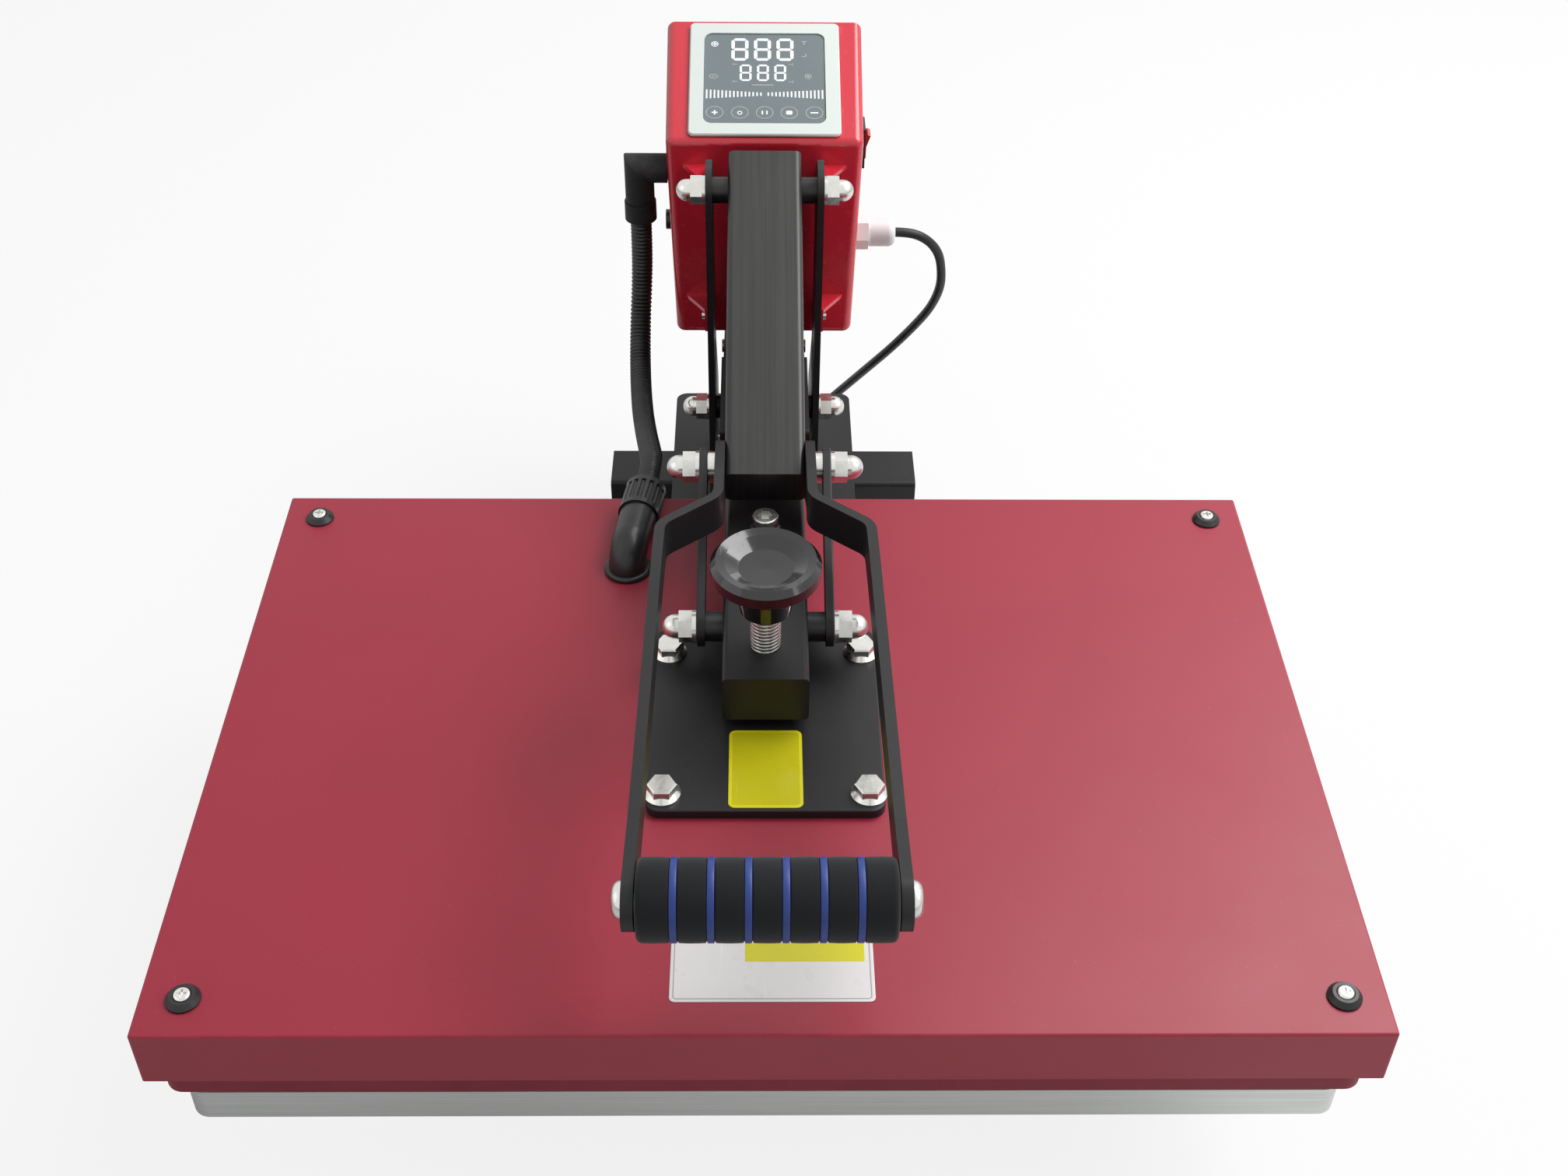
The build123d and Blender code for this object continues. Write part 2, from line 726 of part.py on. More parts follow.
def make_stop_screw():
    """The socket head screw on the arm, with its lock nut."""
    y = stop_screw_y
    nut_top = arm_top + stop_nut_t
    nut = hex_z(stop_nut_flats, 0, y, arm_top, nut_top) - rod_z(stop_screw_d / 2 + running_gap, 0, y,
                                                               arm_top - 1, nut_top + 1)
    head = rod_z(stop_screw_head_d / 2, 0, y, nut_top, nut_top + stop_screw_head)
    head = fillet(head.faces().sort_by(Axis.Z)[-1].edges(), 0.8)
    head -= hex_z(8.0, 0, y, nut_top + stop_screw_head - 5, nut_top + stop_screw_head + 1)
    shank = rod_z(stop_screw_d / 2, 0, y, arm_top - arm_wall - 8, nut_top)
    return [head + shank, nut]


# Handle

def make_handle_tube():
    """The dark rectangular tube between the toggle bolt and the knee."""
    run = hypot(toggle_y - knee_y, toggle_z - knee_z)
    uy = (toggle_y - knee_y) / run
    uz = (toggle_z - knee_z) / run
    length = run + handle_tube_back + handle_tube_front
    start = (0, knee_y - uy * handle_tube_front, knee_z - uz * handle_tube_front)
    plane = Plane(origin=start, x_dir=(1, 0, 0), z_dir=(0, uy, uz))
    tube = extrude(plane * RectangleRounded(handle_tube_width, handle_tube_height, 4.0), length)
    inner = RectangleRounded(handle_tube_width - 2 * handle_wall, handle_tube_height - 2 * handle_wall, 1.5)
    tube -= extrude(plane * Pos(0, 0, 12) * inner, length)
    half = handle_tube_width / 2
    sleeve_r = pivot_bolt_d / 2 + running_gap + 3.5
    for y, z in ((toggle_y, toggle_z), (knee_y, knee_z)):
        tube += rod_x(sleeve_r, -half + 1, half - 1, y, z)
        tube -= rod_x(pivot_bolt_d / 2 + running_gap, -half - 1, half + 1, y, z)
    return tube


def make_fork(side):
    """One side bar of the handle: a flat bar bent outwards in plan and shaped in side view."""
    inner = handle_tube_width / 2
    bend_y = knee_y - fork_knee_clear
    out_y = bend_y - fork_bend_run
    mid = fork_t / 2
    line = FilletPolyline((inner + mid, knee_y + 30, 0), (inner + mid, bend_y, 0), (fork_bend_half, out_y, 0),
                          (fork_front_half - mid, grip_y - grip_eye_r - 1, 0), radius=[14, 14])
    plan = make_face(offset(line, mid, kind=Kind.ARC, side=Side.BOTH))
    low = min(knee_z, grip_z) - 30
    bar = extrude(Pos(0, 0, low) * plan, 90, dir=(0, 0, 1))
    h = fork_height / 2
    rise = 13.0
    top = [(knee_y + 13, knee_z + 14), (knee_y - 36, knee_z + h + rise), (out_y - 30, grip_z + h + 2),
           (grip_y + 40, grip_z + h)]
    bottom = [(grip_y + 40, grip_z - h), (out_y - 30, grip_z - h + 2), (knee_y - 42, knee_z - h + rise),
              (knee_y - 16, knee_z - 14), (knee_y + 13, knee_z - 14)]
    shape = side_plate(top + bottom, 0, fork_front_half + 10, [10, 40, 120, 1, 1, 120, 24, 8, 10])
    shape += rod_x(grip_eye_r, 0, fork_front_half + 10, grip_y, grip_z)
    neck = [(grip_y + 41, grip_z + h), (grip_y, grip_z + grip_eye_r), (grip_y, grip_z - grip_eye_r),
            (grip_y + 41, grip_z - h)]
    shape += side_plate(neck, 0, fork_front_half + 10)
    fork = bar & shape
    fork -= rod_x(pivot_bolt_d / 2 + running_gap, 0, fork_front_half, knee_y, knee_z)
    fork -= rod_x(grip_rod_d / 2, fork_front_half - fork_t - 5, fork_front_half + 5, grip_y, grip_z)
    return fork if side > 0 else mirror(fork, Plane.YZ)


def ring_places():
    """The middles of the blue rings along the grip."""
    return [(k - (grip_ring_count - 1) / 2) * grip_ring_pitch for k in range(grip_ring_count)]


def make_foam():
    """The foam sleeve of the grip, grooved for its rings."""
    half = grip_length / 2 - foam_end_gap
    foam = rod_x(foam_d / 2, -half, half, grip_y, grip_z)
    foam = fillet(foam.edges().filter_by(GeomType.CIRCLE), 3.0)
    foam -= rod_x(grip_rod_d / 2, -half - 1, half + 1, grip_y, grip_z)
    for x in ring_places():
        foam -= ring(x, foam_d / 2 + 1, foam_d / 2 - grip_ring_depth)
    return foam


def ring(x, outer, inner):
    """A band round the grip."""
    w = grip_ring_width / 2
    return rod_x(outer, x - w, x + w, grip_y, grip_z) - rod_x(inner, x - w - 1, x + w + 1, grip_y, grip_z)


def make_grip_bolts():
    """Domed bolt heads outside the fork."""
    head = rod_x(grip_bolt_d / 2, fork_front_half, fork_front_half + grip_bolt_height, grip_y, grip_z)
    return pair(fillet(head.faces().sort_by(Axis.X)[-1].edges(), grip_bolt_height - 0.5))


def make_knee_bolt():
    """The bolt through the fork bars and the handle tube."""
    end = side_gap_inner - side_gap
    return rod_x(pivot_bolt_d / 2, -end, end, knee_y, knee_z)


def make_knee_washers():
    """Bright washers between the fork bars and the links."""
    x = handle_tube_width / 2 + fork_t
    return pair(washer(x, knee_y, knee_z, side_gap_inner - side_gap - x, washer_d))


# Pressure screw

def make_knob():
    """The black dished knob with its hub."""
    r = knob_d / 2
    h = knob_height
    hub = knob_hub_d / 2
    base = arm_top + knob_rise - knob_height
    section = [(0, 6), (hub - 6, 3), (hub - 3, 0), (hub, 0), (hub + 2, h * 0.34), (r - 5, h * 0.58), (r, h * 0.72),
               (r, h * 0.90), (r - 3, h), (r - 8, h - 1.5), (r * 0.5, h - 6), (0, h - 7)]
    knob = turned_z(section, 0, screw_y, base)
    return knob - rod_z(screw_d / 2, 0, screw_y, base - 1, base + h - 12)


def make_screw():
    """The pressure screw: a plain shank at its foot and V grooves above the arm."""
    r = screw_d / 2
    foot = cover_top - thrust_depth + screw_end_gap
    top = arm_top + knob_rise - 12
    screw = rod_z(r, 0, screw_y, foot, top)
    grooves = int((knob_rise - knob_height) // screw_pitch)
    for k in range(grooves):
        z = arm_top + 1.5 + k * screw_pitch
        groove = turned_z([(r + 1, -1.6), (r + 1, 1.6), (r - 0.9, 0.1), (r - 0.9, -0.1)], 0, screw_y, z)
        screw -= groove
    return screw


# Base and lower platen

def make_crossbar(width, y):
    """A rectangular tube across the base."""
    h = crossbar_height
    bar = block(-width / 2, width / 2, y, y + crossbar_depth, foot_height, foot_height + h)
    bar = fillet(bar.edges().filter_by(Axis.X), 4.0)
    t = crossbar_wall
    bar -= block(-width / 2 + t, width / 2 - t, y + t, y + crossbar_depth - t, foot_height + t, foot_height + h - t)
    return bar


def make_feet():
    """Four rubber feet under the ends of the crossbars."""
    feet = []
    for width, y in ((front_crossbar_width, front_crossbar_y), (rear_crossbar_width, rear_crossbar_y)):
        for side in (-1, 1):
            x = side * (width / 2 - foot_inset)
            foot = rod_z(foot_d / 2, x, y + crossbar_depth / 2, 0, foot_height)
            feet.append(chamfer(foot.faces().sort_by(Axis.Z)[0].edges(), 2.0))
    return feet


def make_spine():
    """The base plate that joins the crossbars and carries the uprights."""
    depth = spine_rear_y - spine_front_y
    return rounded_plate(spine_width, depth, spine_corner, 0, (spine_front_y + spine_rear_y) / 2,
                         crossbar_top, spine_top)


def make_beams():
    """Two rectangular tubes that carry the lower platen."""
    beams = []
    for y in (platen_y - beam_offset, platen_y + beam_offset):
        y0 = y - beam_depth / 2
        y1 = y + beam_depth / 2
        half = beam_length / 2
        beam = block(-half, half, y0, y1, spine_top, beam_top)
        t = beam_wall
        beams.append(beam - block(-half - 1, half + 1, y0 + t, y1 - t, spine_top + t, beam_top - t))
    return beams


def make_upright():
    """The right upright plate with its holes."""
    front = toggle_y - upright_front
    top = cover_top + upright_top_rise
    outline = [(upright_foot_front, spine_top), (upright_foot_front, spine_top + 14), (front, hinge_z - 20),
               (front, top), (upright_slope_y, top), (upright_rear, cover_top + upright_rear_rise),
               (upright_rear, cover_top), (upright_foot_rear, cover_top - 70), (upright_foot_rear, spine_top)]
    plate = side_plate(outline, side_gap_inner, side_outer, [1, 6, 20, 14, 8, 8, 20, 14, 1])
    for y, z, d in ((toggle_y, toggle_z, pivot_bolt_d), (hinge_y, hinge_z, pivot_bolt_d),
                    (anchor_y, cover_top - anchor_drop, spring_pin_d)):
        plate -= rod_x(d / 2 + running_gap, side_gap_inner - 1, side_outer + 1, y, z)
    return plate


# Springs

def biarc(p0, t0, p1, t1):
    """Two arcs, tangent to each other, between two points with given directions."""
    v = p1 - p0
    s = t0 + t1
    a = 2 * (1 - t0.dot(t1))
    b = 2 * v.dot(s)
    c = -v.dot(v)
    d = -c / b if abs(a) < 1e-9 else (-b + sqrt(b * b - 4 * a * c)) / (2 * a)
    middle = (p0 + p1 + (t0 - t1) * d) * 0.5
    first = TangentArc(p0, middle, tangent=t0)
    second = TangentArc(middle, p1, tangent=(p1 - t1 * d - middle).normalized())
    return [first, second]


def lever_place():
    """Where the springs pull on the cheeks."""
    return Vector(0, lever_y, cover_top - lever_drop)


def anchor_place():
    """Where the springs are held between the uprights."""
    return Vector(0, anchor_y, cover_top - anchor_drop)


def make_spring(x):
    """One tension spring: a hook round each pin and steady turns between them."""
    top = lever_place() + Vector(x, 0, 0)
    low = anchor_place() + Vector(x, 0, 0)
    axis = (top - low).normalized()
    across = Vector(1, 0, 0)
    out = axis.cross(across)
    span = (top - low).length
    r = spring_mean_r
    lead = spring_mean_r + 3.0
    body = span - 2 * lead

    def turn(angle, along):
        return low + axis * along + across * (r * cos(angle)) + out * (r * sin(angle))

    def heading_at(angle):
        climb_rate = body / (spring_turns * 2 * pi)
        return (across * (-r * sin(angle)) + out * (r * cos(angle)) + axis * climb_rate).normalized()

    steps = spring_turns * 4
    knots = [(low + out * -r, axis * -1), (low + axis * -r, out), (low + out * r, axis)]
    for k in range(steps + 1):
        angle = pi / 2 * k + pi
        knots.append((turn(angle, lead + body * k / steps), heading_at(angle)))
    knots += [(top + out * -r, axis), (top + axis * r, out), (top + out * r, axis * -1)]
    pieces = []
    for (p0, t0), (p1, t1) in zip(knots, knots[1:]):
        pieces += biarc(p0, t0, p1, t1)
    path = Wire([piece.edge() for piece in pieces])
    start = Plane(origin=knots[0][0], x_dir=(1, 0, 0), z_dir=knots[0][1])
    return sweep(start * Circle(spring_wire / 2), path=path)


# Control box

def box_half(rise):
    """Half the width of the box at a height over the cover's top."""
    return box_half_bottom + (box_half_top - box_half_bottom) * rise / box_face_height


def box_solid(inset, back):
    """The outer or inner form of the control box."""
    low = cover_top + inset
    front = box_front_y + inset
    slope = (box_back_height - box_face_height) / (box_back_y - box_front_y)
    drop = inset * sqrt(1 + slope * slope)
    face = cover_top + box_face_height + slope * inset - drop
    rear = cover_top + box_face_height + slope * (back - box_front_y) - drop
    form = side_plate([(front, low), (front, face), (back, rear), (back, low)], -90, 90)
    top = cover_top + box_back_height + 10
    trap = [(-box_half(0) + inset, cover_top), (box_half(0) - inset, cover_top),
            (box_half(box_back_height + 10) - inset, top), (-box_half(box_back_height + 10) + inset, top)]
    wedge = make_face(Polyline(*[(x, 0, z) for x, z in trap], close=True))
    return form & extrude(Pos(0, box_front_y - 5, 0) * wedge, box_back_y - box_front_y + 20, dir=(0, 1, 0))


face_tilt = degrees(atan2(box_back_height - box_face_height, box_back_y - box_front_y))
face_mid_y = (box_front_y + box_back_y) / 2
face_mid_z = cover_top + (box_face_height + box_back_height) / 2
face_plane = Plane(origin=(0, face_mid_y, face_mid_z), x_dir=(1, 0, 0),
                   z_dir=(0, -sin(radians(face_tilt)), cos(radians(face_tilt))))


def on_face(size, corner, z0, z1):
    """A square plate on the sloping face, from height z0 to z1 over it."""
    return extrude(face_plane * Pos(0, 0, z0) * RectangleRounded(size, size, corner), z1 - z0)


def make_control_box():
    """The moulded control box: walls, mounting ears and holes for what sits in it."""
    shell = box_solid(0.0, box_back_y - rear_cover_t)
    edges = shell.edges().filter_by(lambda e: e.center().Y < box_back_y - rear_cover_t - 1)
    shell = fillet(edges, box_edge_r)
    shell -= box_solid(box_wall, box_back_y)
    x = side_outer + hole_gap
    for rise in (ear_low, ear_high):
        z = cover_top + rise
        tab = block(x, x + ear_t, box_front_y - ear_reach, box_front_y + 1, z, z + ear_height)
        rib = make_face(Polyline((x, box_front_y + 1, z + ear_height), (x + ear_t + ear_rib, box_front_y + 1,
                        z + ear_height), (x + ear_t, box_front_y - ear_reach, z + ear_height),
                        (x, box_front_y - ear_reach, z + ear_height), close=True))
        ear = tab + extrude(rib, ear_t, dir=(0, 0, 1))
        ear -= rod_x(2.15, x - 1, x + ear_t + 1, box_front_y - ear_reach / 2, z + ear_height / 2)
        for piece in pair(ear):
            shell += piece
    shell -= on_face(display_size - 6, display_corner, -box_wall - 3, 1)
    wall_x = box_half(switch_rise)
    z = cover_top + switch_rise
    shell -= block(wall_x - 8, wall_x + 8, switch_y - switch_width / 2, switch_y + switch_width / 2,
                   z - switch_height / 2, z + switch_height / 2)
    shell -= rod_x(gland_thread_d / 2 + hole_gap, 50, 90, gland_y, cover_top + gland_rise)
    shell -= rod_x(fuse_d / 2 + hole_gap, -90, -50, fuse_y, cover_top + fuse_rise)
    shell -= rod_x(elbow_d / 2 - 4 + hole_gap, -90, -50, elbow_y, cover_top + elbow_rise)
    for side in (-1, 1):
        for rise in (10.0, box_back_height - 14.0):
            x = side * (box_half(rise) - box_wall - 4.0)
            z = cover_top + rise
            post = Pos(x, box_back_y - rear_cover_t - 8, z) * Rot(90, 0, 0) * Cylinder(4.5, 16)
            shell += post & box_solid(1.0, box_back_y - rear_cover_t)
            shell -= Pos(x, box_back_y - rear_cover_t - 7, z) * Rot(90, 0, 0) * Cylinder(1.6, 14)
    return shell


def make_rear_cover():
    """The flat rear cover of the box."""
    slab = block(-90, 90, box_back_y - rear_cover_t, box_back_y, 0, cover_top + 2 * box_back_height)
    cover = box_solid(0.0, box_back_y) & slab
    corners = cover.edges().filter_by(lambda e: e.length < 1.5 * rear_cover_t).sort_by(Axis.Z)
    cover = fillet(corners[:2] + corners[-2:], box_edge_r)
    for side in (-1, 1):
        for rise in (10.0, box_back_height - 14.0):
            x = side * (box_half(rise) - box_wall - 4.0)
            cover -= Pos(x, box_back_y, cover_top + rise) * Rot(90, 0, 0) * Cylinder(3.3, 4.0)
            cover -= Pos(x, box_back_y, cover_top + rise) * Rot(90, 0, 0) * Cylinder(1.6, 12.0)
    for k in range(7):
        z = cover_top + 60 + 9 * k
        cover -= block(-26, 26, box_back_y - rear_cover_t - 1, box_back_y + 1, z, z + 3.5)
    return cover


def make_box_screws():
    """Screws of the rear cover and of the mounting ears."""
    screws = []
    for side in (-1, 1):
        for rise in (10.0, box_back_height - 14.0):
            x = side * (box_half(rise) - box_wall - 4.0)
            z = cover_top + rise
            head = Pos(x, box_back_y - 1.0, z) * Rot(90, 0, 0) * Cylinder(3.1, 1.9)
            screws.append(head + Pos(x, box_back_y - 7.0, z) * Rot(90, 0, 0) * Cylinder(1.5, 12.0))
        for rise in (ear_low, ear_high):
            x0 = side_outer + hole_gap + ear_t
            z = cover_top + rise + ear_height / 2
            y = box_front_y - ear_reach / 2
            screw = rod_x(4.0, x0, x0 + 2.4, y, z) + rod_x(2.0, side_outer + 0.1, x0 + 1, y, z)
            screws.append(screw if side > 0 else mirror(screw, Plane.YZ))
    return screws


def make_bezel():
    """The light frame round the display."""
    frame = on_face(bezel_size, bezel_corner, 0, bezel_t)
    frame = chamfer(frame.faces().sort_by(Axis.Z)[-1].edges(), 0.8)
    frame -= on_face(display_size, display_corner, -1, bezel_t + 2)
    return frame


def make_display():
    """The dark touch panel in the frame."""
    return on_face(display_size - 0.4, display_corner, 0, bezel_t - display_t)


def make_board():
    """The control board under the display, and the relay and terminals on the floor of the box."""
    board = on_face(board_size - 4, 2, -board_depth - board_t, -board_depth)
    place = board_size / 2 - 6
    posts = [extrude(face_plane * Pos(sx * place, sy * place, -board_depth) * Circle(2.5), board_depth)
             for sx in (-1, 1) for sy in (-1, 1)]
    floor = cover_top + box_wall
    parts = [board] + posts
    for (x, y), (w, d, h) in ((relay_place, relay_size), (terminal_place, terminal_size)):
        parts.append(block(x, x + w, box_front_y + y, box_front_y + y + d, floor, floor + h))
    return parts


def make_switch_housing():
    """The switch body in the side of the box, with its rim."""
    wall_x = box_half(switch_rise)
    z = cover_top + switch_rise
    w = switch_width / 2
    h = switch_height / 2
    rim = block(wall_x + wall_gap, wall_x + wall_gap + 2.0, switch_y - w - switch_bezel, switch_y + w + switch_bezel,
                z - h - switch_bezel, z + h + switch_bezel)
    g = hole_gap
    body = block(wall_x - switch_depth, wall_x + 1, switch_y - w + g, switch_y + w - g, z - h + g, z + h - g)
    housing = rim + body
    return housing - block(wall_x - 6, wall_x + 5, switch_y - w + 1.5, switch_y + w - 1.5, z - h + 1.5, z + h - 1.5)


def switch_axis_x():
    """How far out the rocker turns."""
    return box_half(switch_rise) - 0.5


def make_rocker():
    """The red rocker, at rest tipped to its off side."""
    w = switch_width / 2 - 1.9
    x = switch_axis_x()
    z = cover_top + switch_rise
    half = switch_height / 2 - 2.6
    points = [(-3.5, -4), (3.4, -half), (5.6, -half + 0.6), (4.2, 0), (5.6, half - 0.6), (3.4, half), (-3.5, 4)]
    face = make_face(Polyline(*[(px, 0, pz) for px, pz in points], close=True))
    rocker = extrude(Pos(0, -w, 0) * face, 2 * w, dir=(0, 1, 0))
    return Pos(x, switch_y, z) * Rot(0, switch_tilt, 0) * rocker


def make_fuse():
    """The fuse holder's cap and body."""
    wall_x = -box_half(fuse_rise)
    z = cover_top + fuse_rise
    cap = rod_x(fuse_d / 2 + 1.2, wall_x - fuse_proud, wall_x - wall_gap, fuse_y, z)
    cap -= block(wall_x - fuse_proud - 1, wall_x - fuse_proud + 1.2, fuse_y - 5, fuse_y + 5, z - 0.8, z + 0.8)
    return cap + rod_x(fuse_d / 2, wall_x - 1, wall_x + 24, fuse_y, z)


gland_x = box_half(gland_rise) + wall_gap
gland_end = gland_x + gland_nut + gland_dome


def make_gland():
    """The white cable gland: lock nut inside, hexagon and domed nut outside."""
    z = cover_top + gland_rise
    y = gland_y
    hexagon = hex_x(gland_flats, gland_x, gland_x + gland_nut, y, z)
    dome_r = gland_flats / 2 - 0.6
    dome = rod_x(dome_r, gland_x + gland_nut, gland_end, y, z)
    dome = fillet(dome.faces().sort_by(Axis.X)[-1].edges(), 5.5)
    thread = rod_x(gland_thread_d / 2, gland_x - box_wall - 9, gland_x + 1, y, z)
    lock = hex_x(gland_flats - 2, gland_x - box_wall - 6.0, gland_x - box_wall - 2 * wall_gap, y, z)
    return hexagon + dome + thread + lock - rod_x(cord_d / 2, gland_x - 30, gland_end + 1, y, z)


# Mains cord

cord_lay = cord_d / 2 + tie_t + tie_gap / 2
cord_points = [
    Vector(gland_end, gland_y, cover_top + gland_rise),
    Vector(gland_end + 10, gland_y, cover_top + 72.8),
    Vector(gland_end + 20, gland_y + 1, cover_top + 69),
    Vector(gland_end + 28.5, gland_y + 3, cover_top + 61.5),
    Vector(gland_end + 34.5, gland_y + 6, cover_top + 51),
    Vector(gland_end + 37.5, gland_y + 10, cover_top + 37),
    Vector(136, gland_y + 16, cover_top + 17),
    Vector(131, 693, cover_top - 9),
    Vector(120, 709, cover_top - 37),
    Vector(104, 726, cover_top - 69),
    Vector(87, 744, cover_top - 100),
    Vector(73, 762, cover_top - 128),
    Vector(61, 775, cover_top - 150),
    Vector(51, 782, cover_top - 166),
    Vector(40, 785, cover_top - 177),
    Vector(27, 785.5, cord_lay),
    Vector(coil_x + 16, coil_y + coil_outer_r, cord_lay),
    Vector(coil_x + cord_d, coil_y + coil_outer_r, cord_lay),
]


def make_cord():
    """The free stretch of the cord, from the gland down to the coil."""
    radii = route_radii(cord_points)
    path = FilletPolyline(*cord_points, radius=radii)
    start = Plane(origin=path @ 0, z_dir=path % 0)
    tube = sweep(start * Circle(cord_d / 2), path=path)
    print("cord length", round(path.length, 1), "volume share",
          round(tube.volume / (path.length * pi * cord_d ** 2 / 4), 4), "radii", [round(r) for r in radii])
    return tube


def make_coil():
    """The put away length: a spiral inwards, a climb in half a turn, and a spiral outwards above it."""
    layer = coil_layer_turns
    total = 2 * layer + 0.5
    steps = int(total * 4)

    def place(turns):
        angle = pi / 2 + 2 * pi * turns
        radius = coil_outer_r - coil_step * (layer + 0.25 - abs(turns - layer - 0.25))
        part = min(max((turns - layer) / 0.5, 0), 1)
        z = cord_lay + coil_layer * (3 * part ** 2 - 2 * part ** 3)
        return Vector(coil_x + radius * cos(angle), coil_y + radius * sin(angle), z)

    def direction(turns):
        if turns <= 0:
            return Vector(-1, 0, 0)
        if turns >= total:
            return Vector(1, 0, 0)
        return (place(turns + 1e-4) - place(turns - 1e-4)).normalized()

    begin = place(0)
    end = place(total)
    edges = [Line(begin + Vector(cord_d, 0, 0), begin)]
    for k in range(steps):
        p0, p1 = place(k / 4), place((k + 1) / 4)
        edges += biarc(p0, direction(k / 4), p1, direction((k + 1) / 4))
    edges.append(Line(end, end + Vector(coil_tail, 0, 0)))
    path = Wire([edge.edge() for edge in edges])
    length = path.length
    start = Plane(origin=begin + Vector(cord_d, 0, 0), z_dir=(-1, 0, 0))
    samples = [place(total * k / 400) for k in range(401)]
    least = min((a - b).length for i, a in enumerate(samples) for b in samples[i + 25:])
    print("coil length", round(length, 1), "least gap", round(least - cord_d, 2))
    return sweep(start * Circle(cord_d / 2), path=path), end + Vector(coil_tail, 0, 0)


def make_plug(at):
    """A plain two pin plug that the tail runs into, lying behind the rear crossbar."""
    body = rod_x(plug_d / 2 - 2.5, at.X, at.X + 12, at.Y, at.Z)
    body += rod_x(plug_d / 2, at.X + 10, at.X + plug_length, at.Y, at.Z)
    for side in (-1, 1):
        y = at.Y + side * plug_pin_gap / 4
        body += rod_x(plug_pin_d / 2, at.X + plug_length - 1, at.X + plug_length + plug_pin_length, y, at.Z)
    return body


def make_tie():
    """The strap that holds the coil together."""
    x = coil_x - coil_outer_r
    inner = coil_outer_r - coil_step * coil_layer_turns
    y0 = coil_y - tie_width / 2
    gap = tie_gap
    top = cord_d + coil_layer + gap
    x0 = x - cord_d / 2 - gap - 1.8
    x1 = coil_x - inner + cord_d / 2 + gap + 3.4
    hole = block(x0, x1, y0 - 1, y0 + tie_width + 1, tie_t, tie_t + top)
    band = block(x0 - tie_t, x1 + tie_t, y0, y0 + tie_width, 0.0, 2 * tie_t + top)
    return band - hole


save("top_cover", make_cover())
save("heat_shield", make_shield())
save("heating_plate", make_heating_plate())
save("heating_element", make_element())
save("insulation_blanket", make_insulation())
save("standoff_posts", make_standoffs())
save("temperature_probe", make_probe())
save("mounting_plate", make_mount_plate())
save("flange_bolts", make_flange_bolts())
save("corner_cup_washers", make_corner_cups())
save("corner_screws", make_corner_screws())
save("hose_connector", make_connector())
plate_label = rounded_plate(yellow_label_width, yellow_label_depth, 4.0, 0, yellow_label_y + yellow_label_depth / 2,
                            mount_plate_top, mount_plate_top + label_t)
cover_label = rounded_plate(white_label_width, white_label_depth, 3.0, white_label_x,
                            white_label_y + white_label_depth / 2, cover_top, cover_top + label_t)
save("label_plates", plate_label, cover_label)

save("pressure_screw", make_screw())
save("pressure_knob", make_knob())

save("arm_tube", make_arm_tube())
save("arm_cheeks", make_cheeks())
save("stop_screw", make_stop_screw())
bolt_reach = side_gap_inner + link_t + side_gap + washer_t + 9.0
pin_reach = arm_width / 2 + cheek_t + 2.0
save("arm_pins", rod_x(pivot_bolt_d / 2, -bolt_reach, bolt_reach, link_y, link_z),
     rod_x(spring_pin_d / 2, -pin_reach, pin_reach, lever_y, cover_top - lever_drop))
save("link_cap_nuts", make_link_nuts())
save("link_spacers", make_link_spacers())
save("lift_springs", make_spring(-spring_x), make_spring(spring_x))

save("toggle_links", make_link(-1), make_link(1))
save("knee_cap_nuts", make_knee_nuts())

save("handle_tube", make_handle_tube())
save("fork_bars", make_fork(-1), make_fork(1))
save("knee_bolt", make_knee_bolt())
save("knee_washers", make_knee_washers())
save("grip_rod", rod_x(grip_rod_d / 2, -fork_front_half, fork_front_half, grip_y, grip_z))
save("foam_grip", make_foam())
save("grip_rings", [ring(x, foam_d / 2 + grip_ring_proud, foam_d / 2 - grip_ring_depth) for x in ring_places()])
save("grip_bolts", make_grip_bolts())

save("spine_plate", make_spine())
save("front_crossbar", make_crossbar(front_crossbar_width, front_crossbar_y))
save("rear_crossbar", make_crossbar(rear_crossbar_width, rear_crossbar_y))
save("rubber_feet", make_feet())
save("platen_beams", make_beams())
save("lower_platen", rounded_plate(platen_width, platen_depth, platen_corner, 0, platen_y, beam_top,
                                   lower_platen_top))
save("silicone_pad", rounded_plate(platen_width - 2 * pad_margin, platen_depth - 2 * pad_margin, 4.0, 0,
                                   platen_y, lower_platen_top, pad_top))
save("uprights", pair(make_upright()))
save("frame_pins", make_frame_pins())
save("frame_cap_nuts", make_frame_nuts())
save("frame_spacers", make_frame_spacers())

save("control_box", make_control_box())
save("box_rear_cover", make_rear_cover())
save("box_screws", make_box_screws())
save("display_bezel", make_bezel())
save("display_panel", make_display())
save("control_board", make_board())
save("switch_housing", make_switch_housing())
save("switch_rocker", make_rocker())
save("fuse_holder", make_fuse())
save("cable_gland", make_gland())
save("hose_elbow", make_elbow())
save("corrugated_hose", make_hose())

save("power_cord", make_cord())
coil, plug_at = make_coil()
save("cord_coil", coil)
save("cord_plug", make_plug(plug_at))
save("cord_tie", make_tie())
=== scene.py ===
"""Dresses a flat heat press: finishes for its frame, soft pieces, cord, hose and stage."""

import math

import bmesh
import bpy
import numpy as np
from bpy.props import FloatProperty, FloatVectorProperty, PointerProperty
from mathutils import Matrix, Vector


